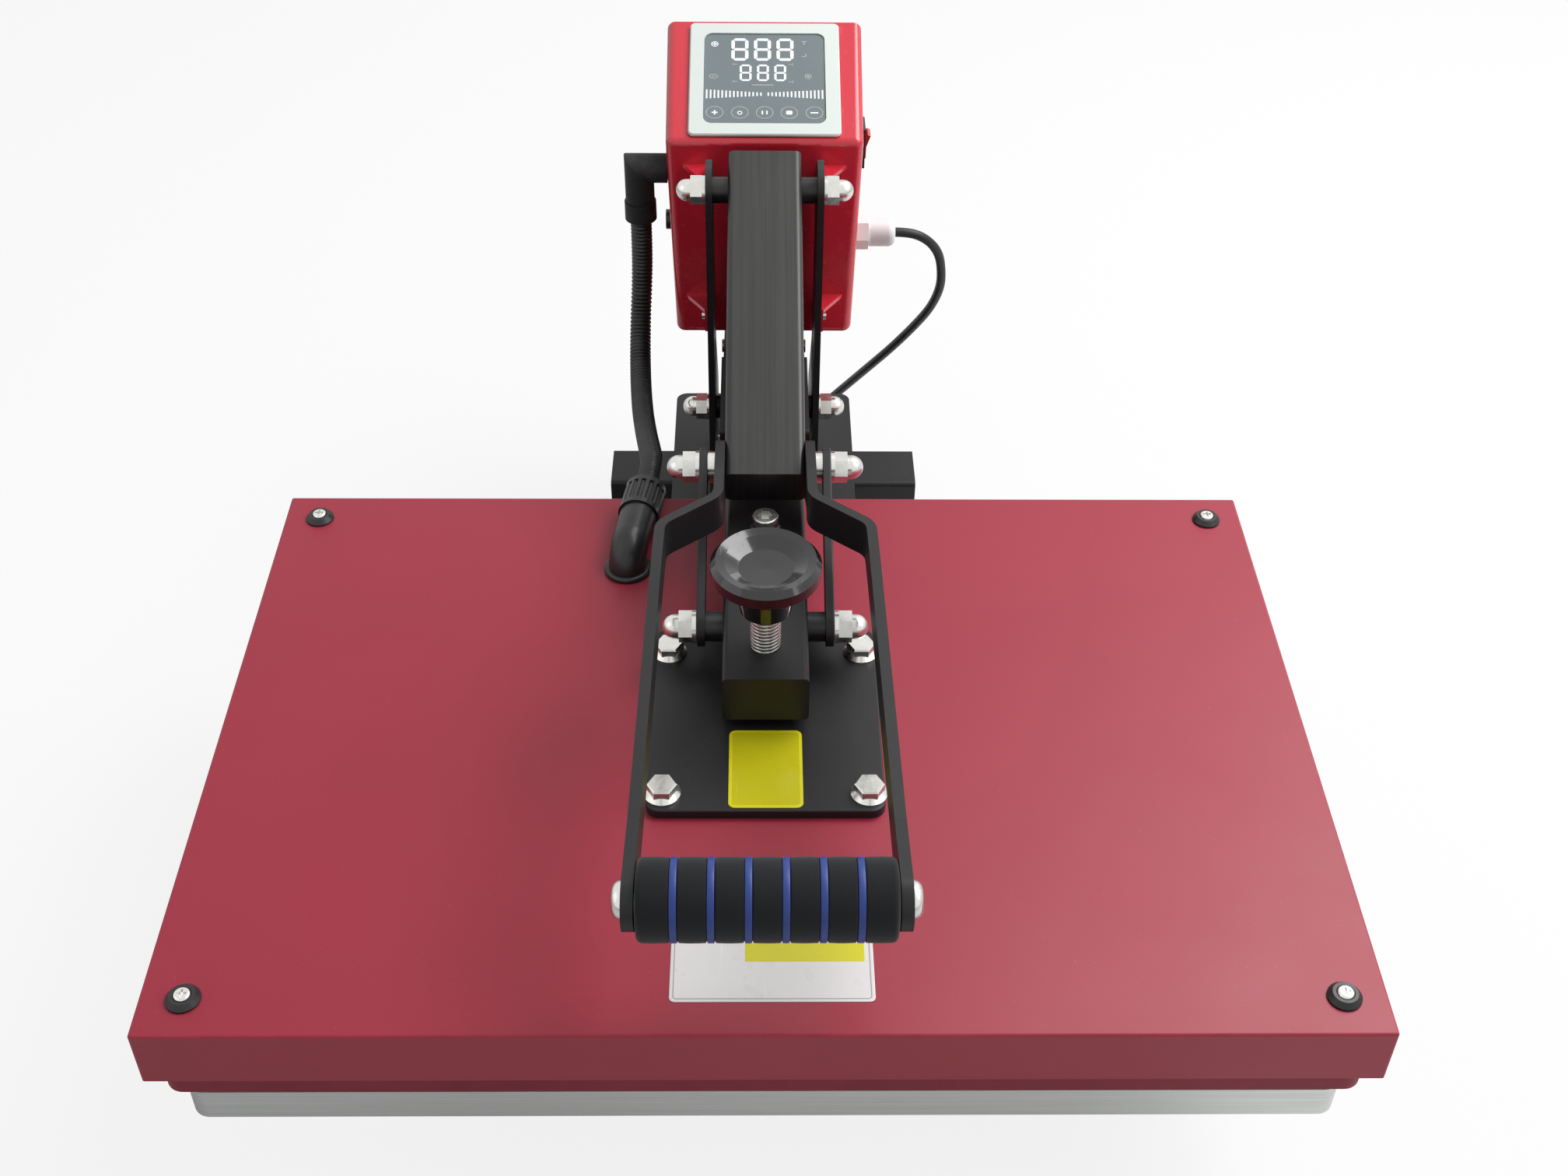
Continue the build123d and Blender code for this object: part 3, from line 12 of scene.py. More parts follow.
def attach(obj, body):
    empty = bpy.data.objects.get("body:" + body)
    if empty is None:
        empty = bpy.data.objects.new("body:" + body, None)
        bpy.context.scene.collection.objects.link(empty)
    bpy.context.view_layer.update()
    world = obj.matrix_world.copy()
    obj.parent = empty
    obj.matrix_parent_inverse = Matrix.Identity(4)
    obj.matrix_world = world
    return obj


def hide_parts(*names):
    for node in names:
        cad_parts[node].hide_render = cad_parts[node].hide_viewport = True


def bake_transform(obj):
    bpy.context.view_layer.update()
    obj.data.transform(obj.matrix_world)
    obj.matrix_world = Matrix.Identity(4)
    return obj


bl_info = {
    "name": "Flat heat press",
    "version": (1, 0, 0),
    "blender": (4, 5, 0),
    "location": "View3D > Sidebar > Heat press",
    "description": "Finishes, soft pieces, cord, hose and stage of a flat heat press",
    "category": "Add Mesh",
}

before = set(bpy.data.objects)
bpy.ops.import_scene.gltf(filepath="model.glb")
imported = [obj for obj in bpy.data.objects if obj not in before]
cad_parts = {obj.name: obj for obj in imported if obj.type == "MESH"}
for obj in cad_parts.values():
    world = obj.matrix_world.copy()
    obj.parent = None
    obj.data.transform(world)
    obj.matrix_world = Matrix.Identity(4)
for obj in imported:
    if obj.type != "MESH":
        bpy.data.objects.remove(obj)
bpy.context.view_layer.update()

MM = 0.001
TURN = 2 * math.pi
X_AXIS = np.array([1.0, 0.0, 0.0])
CORNER_POINTS = 8

ORIGIN_Y = 371.35
COVER_HALF = 317.5
COVER_DEPTH = 437.0
COVER_TOP = 185.0
ARM_TOP = COVER_TOP + 44.0

PAD_WIDTH = 600.0
PAD_DEPTH = 402.0
PAD_LOW = 120.0
PAD_HIGH = 128.0
PAD_SWELL = 0.7

GRIP_Y = 15.0
GRIP_Z = COVER_TOP + 86.0
GRIP_HALF = 62.1
GRIP_R = 20.0
GRIP_BORE = 7.2
RING_PLACES = (np.arange(6) - 2.5) * 17.7
RING_R = 19.55
RING_PROUD = 0.8

SCREW_Y = 242.0
SCREW_R = 9.0
SCREW_FOOT = COVER_TOP - 7.85
SCREW_TOP = ARM_TOP + 52.0
THREAD_DEPTH = 0.5

FACE_Y = 694.0
FACE_Z = COVER_TOP + 179.0
FACE_TILT = math.atan2(40.0, 108.0)
PANEL_PROUD = 2.0

GLAND_END = 97.07
CORD_LAY = 4.9
COIL_Y = 742.0
COIL_R = 42.5
COIL_STEP = 7.6
COIL_LAYER = 7.5
COIL_TURNS = 4.5
COIL_TAIL = 34.0
COIL_POINTS = 14

PLUG_NECK = 12.0
PLUG_LENGTH = 40.0
PLUG_RIB = 2.4
PIN_R = 2.4
PIN_LENGTH = 19.0
PIN_SPACING = 9.5
STRAP_LEFT = -49.4
STRAP_RIGHT = -18.8
STRAP_TOP = 17.3

LEVER = (654.0, COVER_TOP - 20.0)
ANCHOR = (656.0, COVER_TOP - 112.0)
SPRING_X = 13.0
SPRING_R = 6.8
SPRING_TURNS = 14
SPRING_POINTS = 26
WIRE_R = 1.3
FOOT_PLACES = ((176.0, 115.0), (97.5, 651.0))

CORD_ROUTE = (
    (GLAND_END, 665.0, COVER_TOP + 73.0),
    (GLAND_END + 10.0, 665.0, COVER_TOP + 72.8),
    (GLAND_END + 20.0, 666.0, COVER_TOP + 69.0),
    (GLAND_END + 28.5, 668.0, COVER_TOP + 61.5),
    (GLAND_END + 34.5, 671.0, COVER_TOP + 51.0),
    (GLAND_END + 37.5, 675.0, COVER_TOP + 37.0),
    (136.0, 681.0, COVER_TOP + 17.0),
    (131.0, 693.0, COVER_TOP - 9.0),
    (120.0, 709.0, COVER_TOP - 37.0),
    (104.0, 726.0, COVER_TOP - 69.0),
    (87.0, 744.0, COVER_TOP - 100.0),
    (73.0, 762.0, COVER_TOP - 128.0),
    (61.0, 775.0, COVER_TOP - 150.0),
    (51.0, 782.0, COVER_TOP - 166.0),
    (40.0, 785.0, COVER_TOP - 177.0),
    (27.0, 785.5, CORD_LAY),
    (16.0, COIL_Y + COIL_R, CORD_LAY),
    (7.0, COIL_Y + COIL_R, CORD_LAY),
)

CONNECTOR_HEADING = math.radians(9.0)
CONNECTOR_CLIMB = math.radians(3.0)
CONNECTOR_DIR = np.array([
    math.sin(CONNECTOR_HEADING) * math.cos(CONNECTOR_CLIMB),
    math.cos(CONNECTOR_HEADING) * math.cos(CONNECTOR_CLIMB),
    math.sin(CONNECTOR_CLIMB),
])
CONNECTOR_MOUTH = np.array([-88.0, 362.0, COVER_TOP + 14.0]) + CONNECTOR_DIR * 62.0
HOSE_MIDDLE = (
    (-90.0, 655.0, COVER_TOP + 106.0),
    (-90.0, 655.0, COVER_TOP + 66.0),
    (-91.0, 651.0, COVER_TOP + 38.0),
    (-92.5, 636.0, COVER_TOP + 12.0),
    (-92.0, 605.0, COVER_TOP - 8.0),
    (-89.0, 564.0, COVER_TOP - 15.0),
    (-84.0, 524.0, COVER_TOP - 10.0),
    (-79.0, 484.0, COVER_TOP + 5.0),
)
HOSE_VALLEY_R = 6.9
HOSE_BORE_R = 5.3
HOSE_PLAIN_END = 17.5
HOSE_END_SHARE = -0.4
HOSE_AROUND = 28
RIB_POINTS = 9

YELLOW_PLATE = (0.0, 178.5, COVER_TOP + 6.0)
WHITE_PLATE = (3.0, 41.0, COVER_TOP)
WHITE_BAND = (20.0, 52.0, COVER_TOP)

MARK_LOW = 0.005
TILE_HIGH = 0.09
HOOP_HIGH = 0.08
DIGIT_ROWS = (
    ((-17.8, -1.5, 14.8), 28.1, 12.4, 22.0, 2.5),
    ((-13.6, -1.2, 11.2), 5.4, 8.6, 16.0, 1.7),
)
LEVEL_Y = -15.2
KEY_Y = -32.6
KEY_PLACES = (-35.4, -17.6, 0.0, 17.4, 35.2)
LIT_TILES = (
    (-36.0, 33.4, 3.4, 1.1),
    (-36.0, 33.4, 1.1, 3.4),
    (KEY_PLACES[0], KEY_Y, 4.2, 1.2),
    (KEY_PLACES[0], KEY_Y, 1.2, 4.2),
    (KEY_PLACES[4], KEY_Y, 5.6, 1.2),
    (KEY_PLACES[3], KEY_Y, 4.4, 3.6),
    (KEY_PLACES[2] - 1.6, KEY_Y, 1.1, 3.4),
    (KEY_PLACES[2] + 1.6, KEY_Y, 1.1, 3.4),
)
LIT_HOOPS = (
    (-36.0, 33.4, 5.2, 5.2, 0.6),
    (KEY_PLACES[1], -32.9, 3.6, 3.6, 0.7),
)
BRACKETS = ((-21.0, 13.6, 1), (18.6, 13.6, -1), (-21.0, -3.2, 1), (18.6, -3.2, -1))
DIM_TILES = (
    (-1.4, -6.3, 15.2, 0.8),
    (-36.6, 1.8, 2.4, 0.8),
    (31.2, 2.0, 1.6, 1.6),
    (28.6, 36.0, 3.4, 0.8),
    (28.6, 34.2, 0.8, 2.6),
    (28.6, 21.4, 3.4, 0.8),
    (29.8, 22.8, 0.8, 2.6),
)
DIM_HOOPS = (
    (-36.6, 1.8, 6.4, 4.6, 0.6),
    (31.2, 2.0, 4.8, 4.8, 0.6),
)

FLOOR_REACH = 16000.0
FLOOR_LEVEL = -0.02
FLOOR_SEEN = 0.85
WORLD_LIGHT = 0.27
LAMPS = (
    ("overhead", (1.2, 0.6, 2.0), (0.1, -0.1, 0.15), 1.6, 1.4, 46.0),
    ("key", (1.7, -0.6, 1.9), (0.1, 0.0, 0.15), 1.2, 1.2, 9.0),
    ("fill", (-1.8, -0.6, 1.5), (0.0, 0.0, 0.15), 1.6, 1.6, 3.0),
)

CAMERA_PLACE = (-0.00527, -0.93996, 0.96373)
CAMERA_DOWN = math.radians(40.481)
CAMERA_YAW = math.radians(1.0965)
CAMERA_ROLL = math.radians(0.786)
CAMERA_FOCAL_PIXELS = 2421.73
PHOTO_WIDTH = 2016
SENSOR = 36.0


# Colours and sizes that a user would change

def colour(name, description, red, green, blue):
    """A colour setting, given in display values from 0 to 255."""
    def linear(value):
        """The light that a display value stands for."""
        share = value / 255
        return share / 12.92 if share <= 0.04045 else ((share + 0.055) / 1.055) ** 2.4
    return FloatVectorProperty(name=name, description=description, subtype="COLOR", size=3, min=0, max=1,
                               default=(linear(red), linear(green), linear(blue)))


class PressColours(bpy.types.PropertyGroup):
    """The colours of the press."""
    cover_red: colour("Cover red", "Satin paint of the upper platen's cover", 164, 42, 62)
    box_red: colour("Box red", "Glossy moulding of the control box", 218, 40, 60)
    plate_black: colour("Plate black", "Powder coat of the arm, links and plates", 27, 27, 29)
    tube_grey: colour("Tube grey", "Satin paint of the handle tube", 46, 46, 45)
    bright: colour("Bright plating", "Zinc plating of nuts and bolts", 226, 226, 222)
    steel: colour("Steel", "Bare steel of pins and screws", 190, 190, 186)
    aluminium: colour("Aluminium", "Milled edge of the lower platen", 214, 217, 215)
    cream: colour("Cream", "Silicone pad on the lower platen", 236, 212, 196)
    foam: colour("Foam", "Foam sleeve of the grip", 20, 22, 25)
    ring_blue: colour("Ring blue", "Rubber rings round the grip", 38, 62, 134)
    bezel: colour("Bezel", "Pale frame round the display", 228, 236, 231)
    panel: colour("Panel", "Touch panel of the display", 112, 125, 129)
    mark: colour("Mark", "Digits and icons on the panel", 242, 244, 244)
    label_yellow: colour("Label yellow", "Plain plate on the mounting plate", 226, 218, 24)
    label_white: colour("Label white", "Plain plate on the cover", 240, 236, 236)
    gland_white: colour("Gland white", "Nylon cable gland", 246, 248, 250)
    rubber: colour("Rubber", "Feet, elbow, cord and tie", 30, 30, 31)
    floor: colour("Floor", "Pale floor of the stage", 240, 240, 240)


class PressSizes(bpy.types.PropertyGroup):
    """Sizes of the pieces that the frame leaves open."""
    grip_crown: FloatProperty(name="Grip crown", description="Swell of the foam between two rings",
                              default=0.00035, min=0, max=0.002, unit="LENGTH", precision=5)
    ring_width: FloatProperty(name="Ring width", description="Width of a blue ring on the grip",
                              default=0.0036, min=0.001, max=0.006, unit="LENGTH", precision=4)
    cord_width: FloatProperty(name="Cord diameter", description="Diameter of the mains cord",
                              default=0.007, min=0.005, max=0.009, unit="LENGTH", precision=4)
    hose_width: FloatProperty(name="Hose diameter", description="Diameter of the hose over its ribs",
                              default=0.0156, min=0.014, max=0.017, unit="LENGTH", precision=4)
    hose_pitch: FloatProperty(name="Hose rib pitch", description="Distance from rib to rib",
                              default=0.003, min=0.002, max=0.008, unit="LENGTH", precision=4)
    thread_pitch: FloatProperty(name="Thread pitch", description="Pitch of the pressure screw",
                                default=0.0025, min=0.001, max=0.004, unit="LENGTH", precision=4)


# Shader maths

class Field:
    """A value that varies over a surface. Each sign that is used on it adds one Math node."""

    def __init__(self, finish, socket):
        self.finish = finish
        self.socket = socket

    def maths(self, operation, *values, clamp=False):
        """One Math node on fields and numbers."""
        made = self.finish.node("ShaderNodeMath", dict(enumerate(values)),
                                operation=operation, use_clamp=clamp)
        return Field(self.finish, made.outputs[0])

    def __add__(self, other):
        return self.maths("ADD", self, other)

    def __radd__(self, other):
        return self.maths("ADD", other, self)

    def __sub__(self, other):
        return self.maths("SUBTRACT", self, other)

    def __rsub__(self, other):
        return self.maths("SUBTRACT", other, self)

    def __mul__(self, other):
        return self.maths("MULTIPLY", self, other)

    def __rmul__(self, other):
        return self.maths("MULTIPLY", other, self)

    def __abs__(self):
        return self.maths("ABSOLUTE", self)

    def clamp(self):
        """The value, held between 0 and 1."""
        return self.maths("ADD", self, 0.0, clamp=True)

    def above(self, level, soft):
        """0 below a level, 1 above it, with a ramp as wide as soft between them."""
        return ((self - (level - soft / 2)) * (1 / soft)).clamp()

    def largest(self, other):
        """The larger of two fields at each place."""
        return self.maths("MAXIMUM", self, other)


class Finish:
    """One material: its surface shader, and short ways to feed it."""

    def __init__(self, name, base, rough, metal=0.0, **constants):
        self.material = bpy.data.materials.new(name)
        self.material.use_nodes = True
        self.tree = self.material.node_tree
        self.surface = self.tree.nodes["Principled BSDF"]
        self.base = tuple(base)
        self.feed(self.surface.inputs["Base Color"], self.base)
        self.feed(self.surface.inputs["Roughness"], rough)
        self.feed(self.surface.inputs["Metallic"], metal)
        for socket, value in constants.items():
            self.feed(self.surface.inputs[socket.replace("_", " ").title().replace("Ior", "IOR")], value)
        self.material.diffuse_color = self.base + (1.0,)
        self.material.roughness = rough
        self.material.metallic = metal

    def feed(self, socket, value):
        """Links a field to a socket, or sets its constant."""
        if isinstance(value, Field):
            self.tree.links.new(value.socket, socket)
        elif socket.type == "RGBA" and len(value) == 3:
            socket.default_value = tuple(value) + (1.0,)
        else:
            socket.default_value = value

    def node(self, kind, inputs=None, **settings):
        """A node of any kind, with its settings and then what its sockets take."""
        made = self.tree.nodes.new(kind)
        for name, value in settings.items():
            setattr(made, name, value)
        for socket, value in (inputs or {}).items():
            self.feed(made.inputs[socket], value)
        return made

    def coordinates(self, stretch=(1.0, 1.0, 1.0), turn=(0.0, 0.0, 0.0)):
        """The piece's own coordinates, turned about its axes and stretched."""
        own = Field(self, self.node("ShaderNodeTexCoord").outputs["Object"])
        made = self.node("ShaderNodeMapping", {"Vector": own, "Rotation": turn, "Scale": stretch},
                         vector_type="POINT")
        return Field(self, made.outputs["Vector"])

    def axes(self):
        """The piece's own x, y and z as three fields."""
        own = Field(self, self.node("ShaderNodeTexCoord").outputs["Object"])
        parts = self.node("ShaderNodeSeparateXYZ", {"Vector": own})
        return [Field(self, parts.outputs[k]) for k in range(3)]

    def noise(self, scale, detail=2.0, rough=0.5, **place):
        """Soft random patches, from 0 to 1."""
        made = self.node("ShaderNodeTexNoise", {"Vector": self.coordinates(**place), "Scale": scale,
                                                "Detail": detail, "Roughness": rough}, normalize=True)
        return Field(self, made.outputs[0])

    def cells(self, scale, **place):
        """The distance to the nearest of many scattered points."""
        made = self.node("ShaderNodeTexVoronoi", {"Vector": self.coordinates(**place), "Scale": scale},
                         feature="F1")
        return Field(self, made.outputs["Distance"])

    def stripes(self, scale, direction, **place):
        """Even stripes across one axis, from 0 to 1."""
        made = self.node("ShaderNodeTexWave", {"Vector": self.coordinates(**place), "Scale": scale},
                         wave_type="BANDS", bands_direction=direction, wave_profile="SIN")
        return Field(self, made.outputs["Fac"])

    def blend(self, share, first, second):
        """A colour between two, by a share from 0 to 1."""
        made = self.node("ShaderNodeMix", {"Factor": share, 6: first, 7: second}, data_type="RGBA")
        return Field(self, made.outputs[2])

    def paint(self, share, second, first=None):
        """Lets the base colour turn towards a second one, by a share from 0 to 1."""
        mixed = self.blend(share, self.base if first is None else first, second)
        self.feed(self.surface.inputs["Base Color"], mixed)
        return mixed

    def rough(self, value):
        """Lets the roughness follow a field."""
        self.feed(self.surface.inputs["Roughness"], value)

    def relief(self, height, depth, strength=1.0):
        """Bumps of a depth in metres."""
        made = self.node("ShaderNodeBump", {"Height": height, "Distance": depth, "Strength": strength})
        self.feed(self.surface.inputs["Normal"], Field(self, made.outputs["Normal"]))


def shade(base, factor):
    """The same colour, darker or lighter."""
    return tuple(min(1.0, value * factor) for value in base)


# Finishes, each called with the press's colours

def cover_paint(colours):
    """Satin red powder coat: fine orange peel, faint clouding, a few dust specks and paler rims, partly
    rubbed wear and partly a painted edge highlight.
    """
    made = Finish("cover_satin_red", colours.cover_red, 0.42, specular_ior_level=0.45)
    x, y, z = made.axes()
    side_rim, end_rim, blur = 1.3, 1.2, 1.6 * MM
    at_side = abs(x).above((COVER_HALF - side_rim) * MM, blur)
    at_front = (0.0 - y).above((ORIGIN_Y - end_rim) * MM, blur)
    at_back = y.above((COVER_DEPTH - ORIGIN_Y - end_rim) * MM, blur)
    at_end = at_back.largest(at_front)
    at_top = z.above((COVER_TOP - end_rim) * MM, blur)
    rim = (at_side * at_top).largest(at_end * at_top).largest(at_side * at_end)
    cloud = made.noise(9.0, 3.0, 0.55)
    tone = made.paint(cloud.above(0.55, 0.5) * 0.35, shade(colours.cover_red, 0.8))
    # Paler rims: rubbed wear along the cover's edges together with a painted edge highlight.
    tone = made.paint(rim * made.noise(60.0, 3.0).above(0.5, 0.3) * 0.35, shade(colours.cover_red, 1.7), tone)
    speck = made.noise(900.0, 1.0).above(0.79, 0.04)
    made.paint(speck * 0.2, (0.6, 0.5, 0.5), tone)
    made.rough(0.36 + made.noise(14.0, 4.0) * 0.12)
    made.relief(made.noise(520.0, 2.0, 0.6), 0.00006, 0.35)
    return made.material


def box_plastic(colours):
    """Glossy red moulding: shallow flow marks and tiny scuffs that dull the gloss."""
    made = Finish("box_gloss_red", colours.box_red, 0.2, coat_weight=0.35, coat_roughness=0.08)
    flow = made.noise(7.0, 2.0, 0.5, stretch=(1.0, 1.0, 3.0))
    made.paint(flow.above(0.5, 0.6) * 0.3, shade(colours.box_red, 0.84))
    scuff = made.noise(170.0, 3.0, stretch=(1.0, 0.25, 1.0)).above(0.66, 0.08)
    made.rough(0.17 + scuff * 0.2 + made.noise(25.0) * 0.06)
    made.relief(made.noise(340.0, 2.0), 0.00003, 0.25)
    return made.material


def plate_paint(colours):
    """Satin black powder coat over cut plate: orange peel, faint handling marks, grey where it rubs."""
    made = Finish("plate_satin_black", colours.plate_black, 0.42, specular_ior_level=0.35)
    mark = made.noise(30.0, 5.0, 0.6)
    tone = made.paint(mark.above(0.56, 0.3) * 0.4, shade(colours.plate_black, 1.5))
    made.paint(made.noise(700.0, 1.0).above(0.78, 0.05) * 0.25, (0.2, 0.2, 0.2), tone)
    made.rough(0.36 + mark * 0.16)
    made.relief(made.noise(600.0, 2.0, 0.6), 0.00005, 0.4)
    return made.material


def tube_paint(colours):
    """Dark grey satin tube: long faint drawing streaks along the handle."""
    made = Finish("tube_satin_grey", colours.tube_grey, 0.36, specular_ior_level=0.4)
    streak = made.noise(420.0, 3.0, 0.6, stretch=(1.0, 0.012, 0.012))
    tone = made.paint(streak.above(0.5, 0.25) * 0.75, shade(colours.tube_grey, 1.6))
    made.paint(made.noise(12.0, 3.0).above(0.5, 0.4) * 0.35, shade(colours.tube_grey, 0.6), tone)
    made.rough(0.26 + streak * 0.2)
    made.relief(streak, 0.00004, 0.4)
    return made.material


def plated(colours):
    """Bright zinc: fine cloudy grain, a faint warm cast in the clouds and dull flats."""
    made = Finish("bright_zinc", colours.bright, 0.2, metal=1.0)
    cloud = made.noise(90.0, 4.0, 0.6)
    made.paint(cloud.above(0.52, 0.3) * 0.45, (0.6, 0.58, 0.52))
    made.rough(0.14 + made.noise(260.0, 3.0) * 0.2)
    made.relief(made.noise(900.0, 2.0), 0.00002, 0.25)
    return made.material


def bare_steel(colours):
    """Turned steel: rings round the bolts' axes and small oil stains."""
    made = Finish("turned_steel", colours.steel, 0.28, metal=1.0)
    turned = made.noise(1500.0, 2.0, stretch=(1.0, 0.05, 0.05))
    made.paint(made.noise(70.0, 4.0).above(0.6, 0.2) * 0.5, (0.24, 0.22, 0.2))
    made.rough(0.22 + turned * 0.2)
    made.relief(turned, 0.00002, 0.3)
    return made.material


def screw_steel(colours):
    """The pressure screw's steel: dark oil in the grooves' grain, bright crests."""
    made = Finish("screw_steel", colours.steel, 0.24, metal=1.0)
    made.paint(made.noise(130.0, 4.0, stretch=(1.0, 1.0, 3.0)).above(0.55, 0.25) * 0.45, (0.25, 0.24, 0.22))
    made.rough(0.18 + made.noise(500.0, 2.0) * 0.2)
    made.relief(made.noise(1400.0, 1.0), 0.00001, 0.3)
    return made.material


def milled(colours):
    """Milled aluminium: fine cutter lines along the edge, with slightly darker bands."""
    made = Finish("milled_aluminium", colours.aluminium, 0.34, metal=1.0)
    line = made.noise(900.0, 2.0, stretch=(0.01, 1.0, 1.0))
    made.paint(line.above(0.5, 0.4) * 0.4, (0.42, 0.43, 0.42))
    made.rough(0.28 + line * 0.16)
    made.relief(line, 0.00002, 0.3)
    return made.material


def platen_coat(colours):
    """The heating plate's dark non-stick coat: fine speckle and soft wear."""
    made = Finish("platen_coat", (0.05, 0.05, 0.048), 0.5, specular_ior_level=0.4)
    made.paint(made.noise(1300.0, 1.0).above(0.62, 0.1) * 0.5, (0.16, 0.16, 0.15))
    made.rough(0.42 + made.noise(20.0, 3.0) * 0.18)
    made.relief(made.noise(1300.0, 1.0), 0.00003, 0.4)
    return made.material


def silicone(colours):
    """Cream silicone sponge: fine cells and a slight warm mottle."""
    made = Finish("cream_silicone", colours.cream, 0.62, specular_ior_level=0.3)
    made.paint(made.noise(35.0, 3.0).above(0.5, 0.4) * 0.35, shade(colours.cream, 0.86))
    made.rough(0.56 + made.noise(400.0) * 0.12)
    made.relief(made.cells(1600.0), 0.0001, 0.3)
    return made.material


def soft_rubber(colours):
    """Matt black rubber: dull grain and pale dust in it."""
    made = Finish("matt_rubber", colours.rubber, 0.62, specular_ior_level=0.3)
    made.paint(made.noise(45.0, 5.0, 0.65).above(0.58, 0.2) * 0.3, (0.09, 0.088, 0.085))
    made.rough(0.56 + made.noise(160.0, 2.0) * 0.16)
    made.relief(made.noise(1100.0, 2.0), 0.00004, 0.4)
    return made.material


def cord_jacket(colours):
    """The cord's jacket: smooth extruded plastic with a very fine draw grain."""
    made = Finish("cord_jacket", colours.rubber, 0.42, specular_ior_level=0.4)
    made.paint(made.noise(60.0, 3.0).above(0.55, 0.3) * 0.3, (0.06, 0.06, 0.06))
    made.rough(0.36 + made.noise(300.0, 2.0) * 0.14)
    made.relief(made.noise(800.0, 1.0), 0.00003, 0.3)
    return made.material


def hose_plastic(colours):
    """Black ribbed hose: satin plastic, dust settled between the ribs' grain."""
    made = Finish("hose_satin_black", (0.012, 0.012, 0.013), 0.38, specular_ior_level=0.45)
    made.paint(made.noise(50.0, 4.0).above(0.58, 0.2) * 0.3, (0.05, 0.05, 0.05))
    made.rough(0.32 + made.noise(200.0) * 0.16)
    made.relief(made.noise(900.0, 1.0), 0.00003, 0.3)
    return made.material


def grip_foam(colours):
    """Closed cell foam: open pores darkened by painted shade, and fine grinding lines round the sleeve."""
    made = Finish("grip_foam", colours.foam, 0.86, specular_ior_level=0.25, sheen_weight=0.15,
                  sheen_roughness=0.5)
    ground = made.noise(1400.0, 2.0, stretch=(1.0, 0.04, 0.04))
    pores = made.cells(1700.0)
    tone = made.paint(ground.above(0.5, 0.5) * 0.4, shade(colours.foam, 1.8))
    # Painted shade: the foam is darker inside each pore, where shade falls in the recess.
    made.paint((1 - pores.above(0.22, 0.2)) * 0.5, shade(colours.foam, 0.45), tone)
    made.rough(0.78 + ground * 0.16)
    made.relief(pores.above(0.25, 0.3) * 0.7 + ground * 0.3, 0.00012, 0.5)
    return made.material


def ring_rubber(colours):
    """Blue rubber ring: satin, with a slight bloom."""
    made = Finish("ring_blue_rubber", colours.ring_blue, 0.42)
    made.paint(made.noise(120.0, 4.0).above(0.5, 0.35) * 0.35, shade(colours.ring_blue, 1.5))
    made.rough(0.36 + made.noise(300.0) * 0.14)
    made.relief(made.noise(1200.0, 1.0), 0.00003, 0.3)
    return made.material


def bezel_plastic(colours):
    """Pale moulded frame: fine spark texture."""
    made = Finish("bezel_pale", colours.bezel, 0.4)
    made.paint(made.noise(16.0, 3.0).above(0.5, 0.5) * 0.3, shade(colours.bezel, 0.88))
    made.rough(0.34 + made.noise(240.0) * 0.12)
    made.relief(made.noise(1500.0, 1.0), 0.00003, 0.35)
    return made.material


def panel_glass(colours):
    """Touch panel: grey film under a glossy front, with a fine dot grain and a wiped smear."""
    made = Finish("panel_grey", colours.panel, 0.16, coat_weight=0.6, coat_roughness=0.04)
    grain = made.noise(1500.0, 1.0)
    tone = made.paint(grain.above(0.5, 0.4) * 0.35, shade(colours.panel, 0.72))
    smear = made.noise(18.0, 2.0, stretch=(1.0, 0.4, 1.0)).above(0.5, 0.5)
    made.paint(smear * 0.3, shade(colours.panel, 1.25), tone)
    made.rough(0.14 + made.noise(22.0, 3.0).above(0.5, 0.4) * 0.14)
    made.relief(grain, 0.00001, 0.2)
    return made.material


def mark_light(colours):
    """Lit digits and icons: white, with a little glow and a slightly uneven backlight."""
    made = Finish("panel_marks", colours.mark, 0.35, emission_strength=0.15)
    glow = made.noise(90.0, 2.0)
    dull = glow.above(0.45, 0.5)
    made.paint(dull * 0.25, shade(colours.mark, 0.86))
    backlight = made.blend(dull * 0.4, (0.9, 0.93, 0.95), (0.6, 0.64, 0.66))
    made.feed(made.surface.inputs["Emission Color"], backlight)
    return made.material


def dim_mark(colours):
    """Small unlit marks on the panel: pale grey ink."""
    made = Finish("panel_dim_marks", shade(colours.mark, 0.55), 0.4)
    made.paint(made.noise(200.0, 2.0).above(0.5, 0.4) * 0.35, shade(colours.mark, 0.4))
    made.rough(0.34 + made.noise(300.0) * 0.1)
    return made.material


def label_film(name, base):
    """Glossy plastic film: an even coat with a few pale scratches."""
    made = Finish(name, base, 0.26, coat_weight=0.3, coat_roughness=0.1)
    scratch = made.noise(420.0, 2.0, stretch=(1.0, 0.05, 1.0), turn=(0.0, 0.0, 0.5)).above(0.7, 0.05)
    tone = made.paint(scratch * 0.35, shade(base, 1.25))
    made.paint(made.noise(40.0, 3.0).above(0.5, 0.5) * 0.2, shade(base, 0.88), tone)
    made.rough(0.22 + made.noise(60.0, 3.0) * 0.14)
    made.relief(made.noise(700.0, 1.0), 0.00002, 0.2)
    return made.material


def white_nylon(colours):
    """White nylon: waxy, faintly yellowed in patches."""
    made = Finish("white_nylon", colours.gland_white, 0.38, specular_ior_level=0.45)
    made.paint(made.noise(60.0, 3.0).above(0.5, 0.4) * 0.35, (0.72, 0.7, 0.62))
    made.rough(0.32 + made.noise(200.0) * 0.14)
    made.relief(made.noise(900.0, 1.0), 0.00003, 0.3)
    return made.material


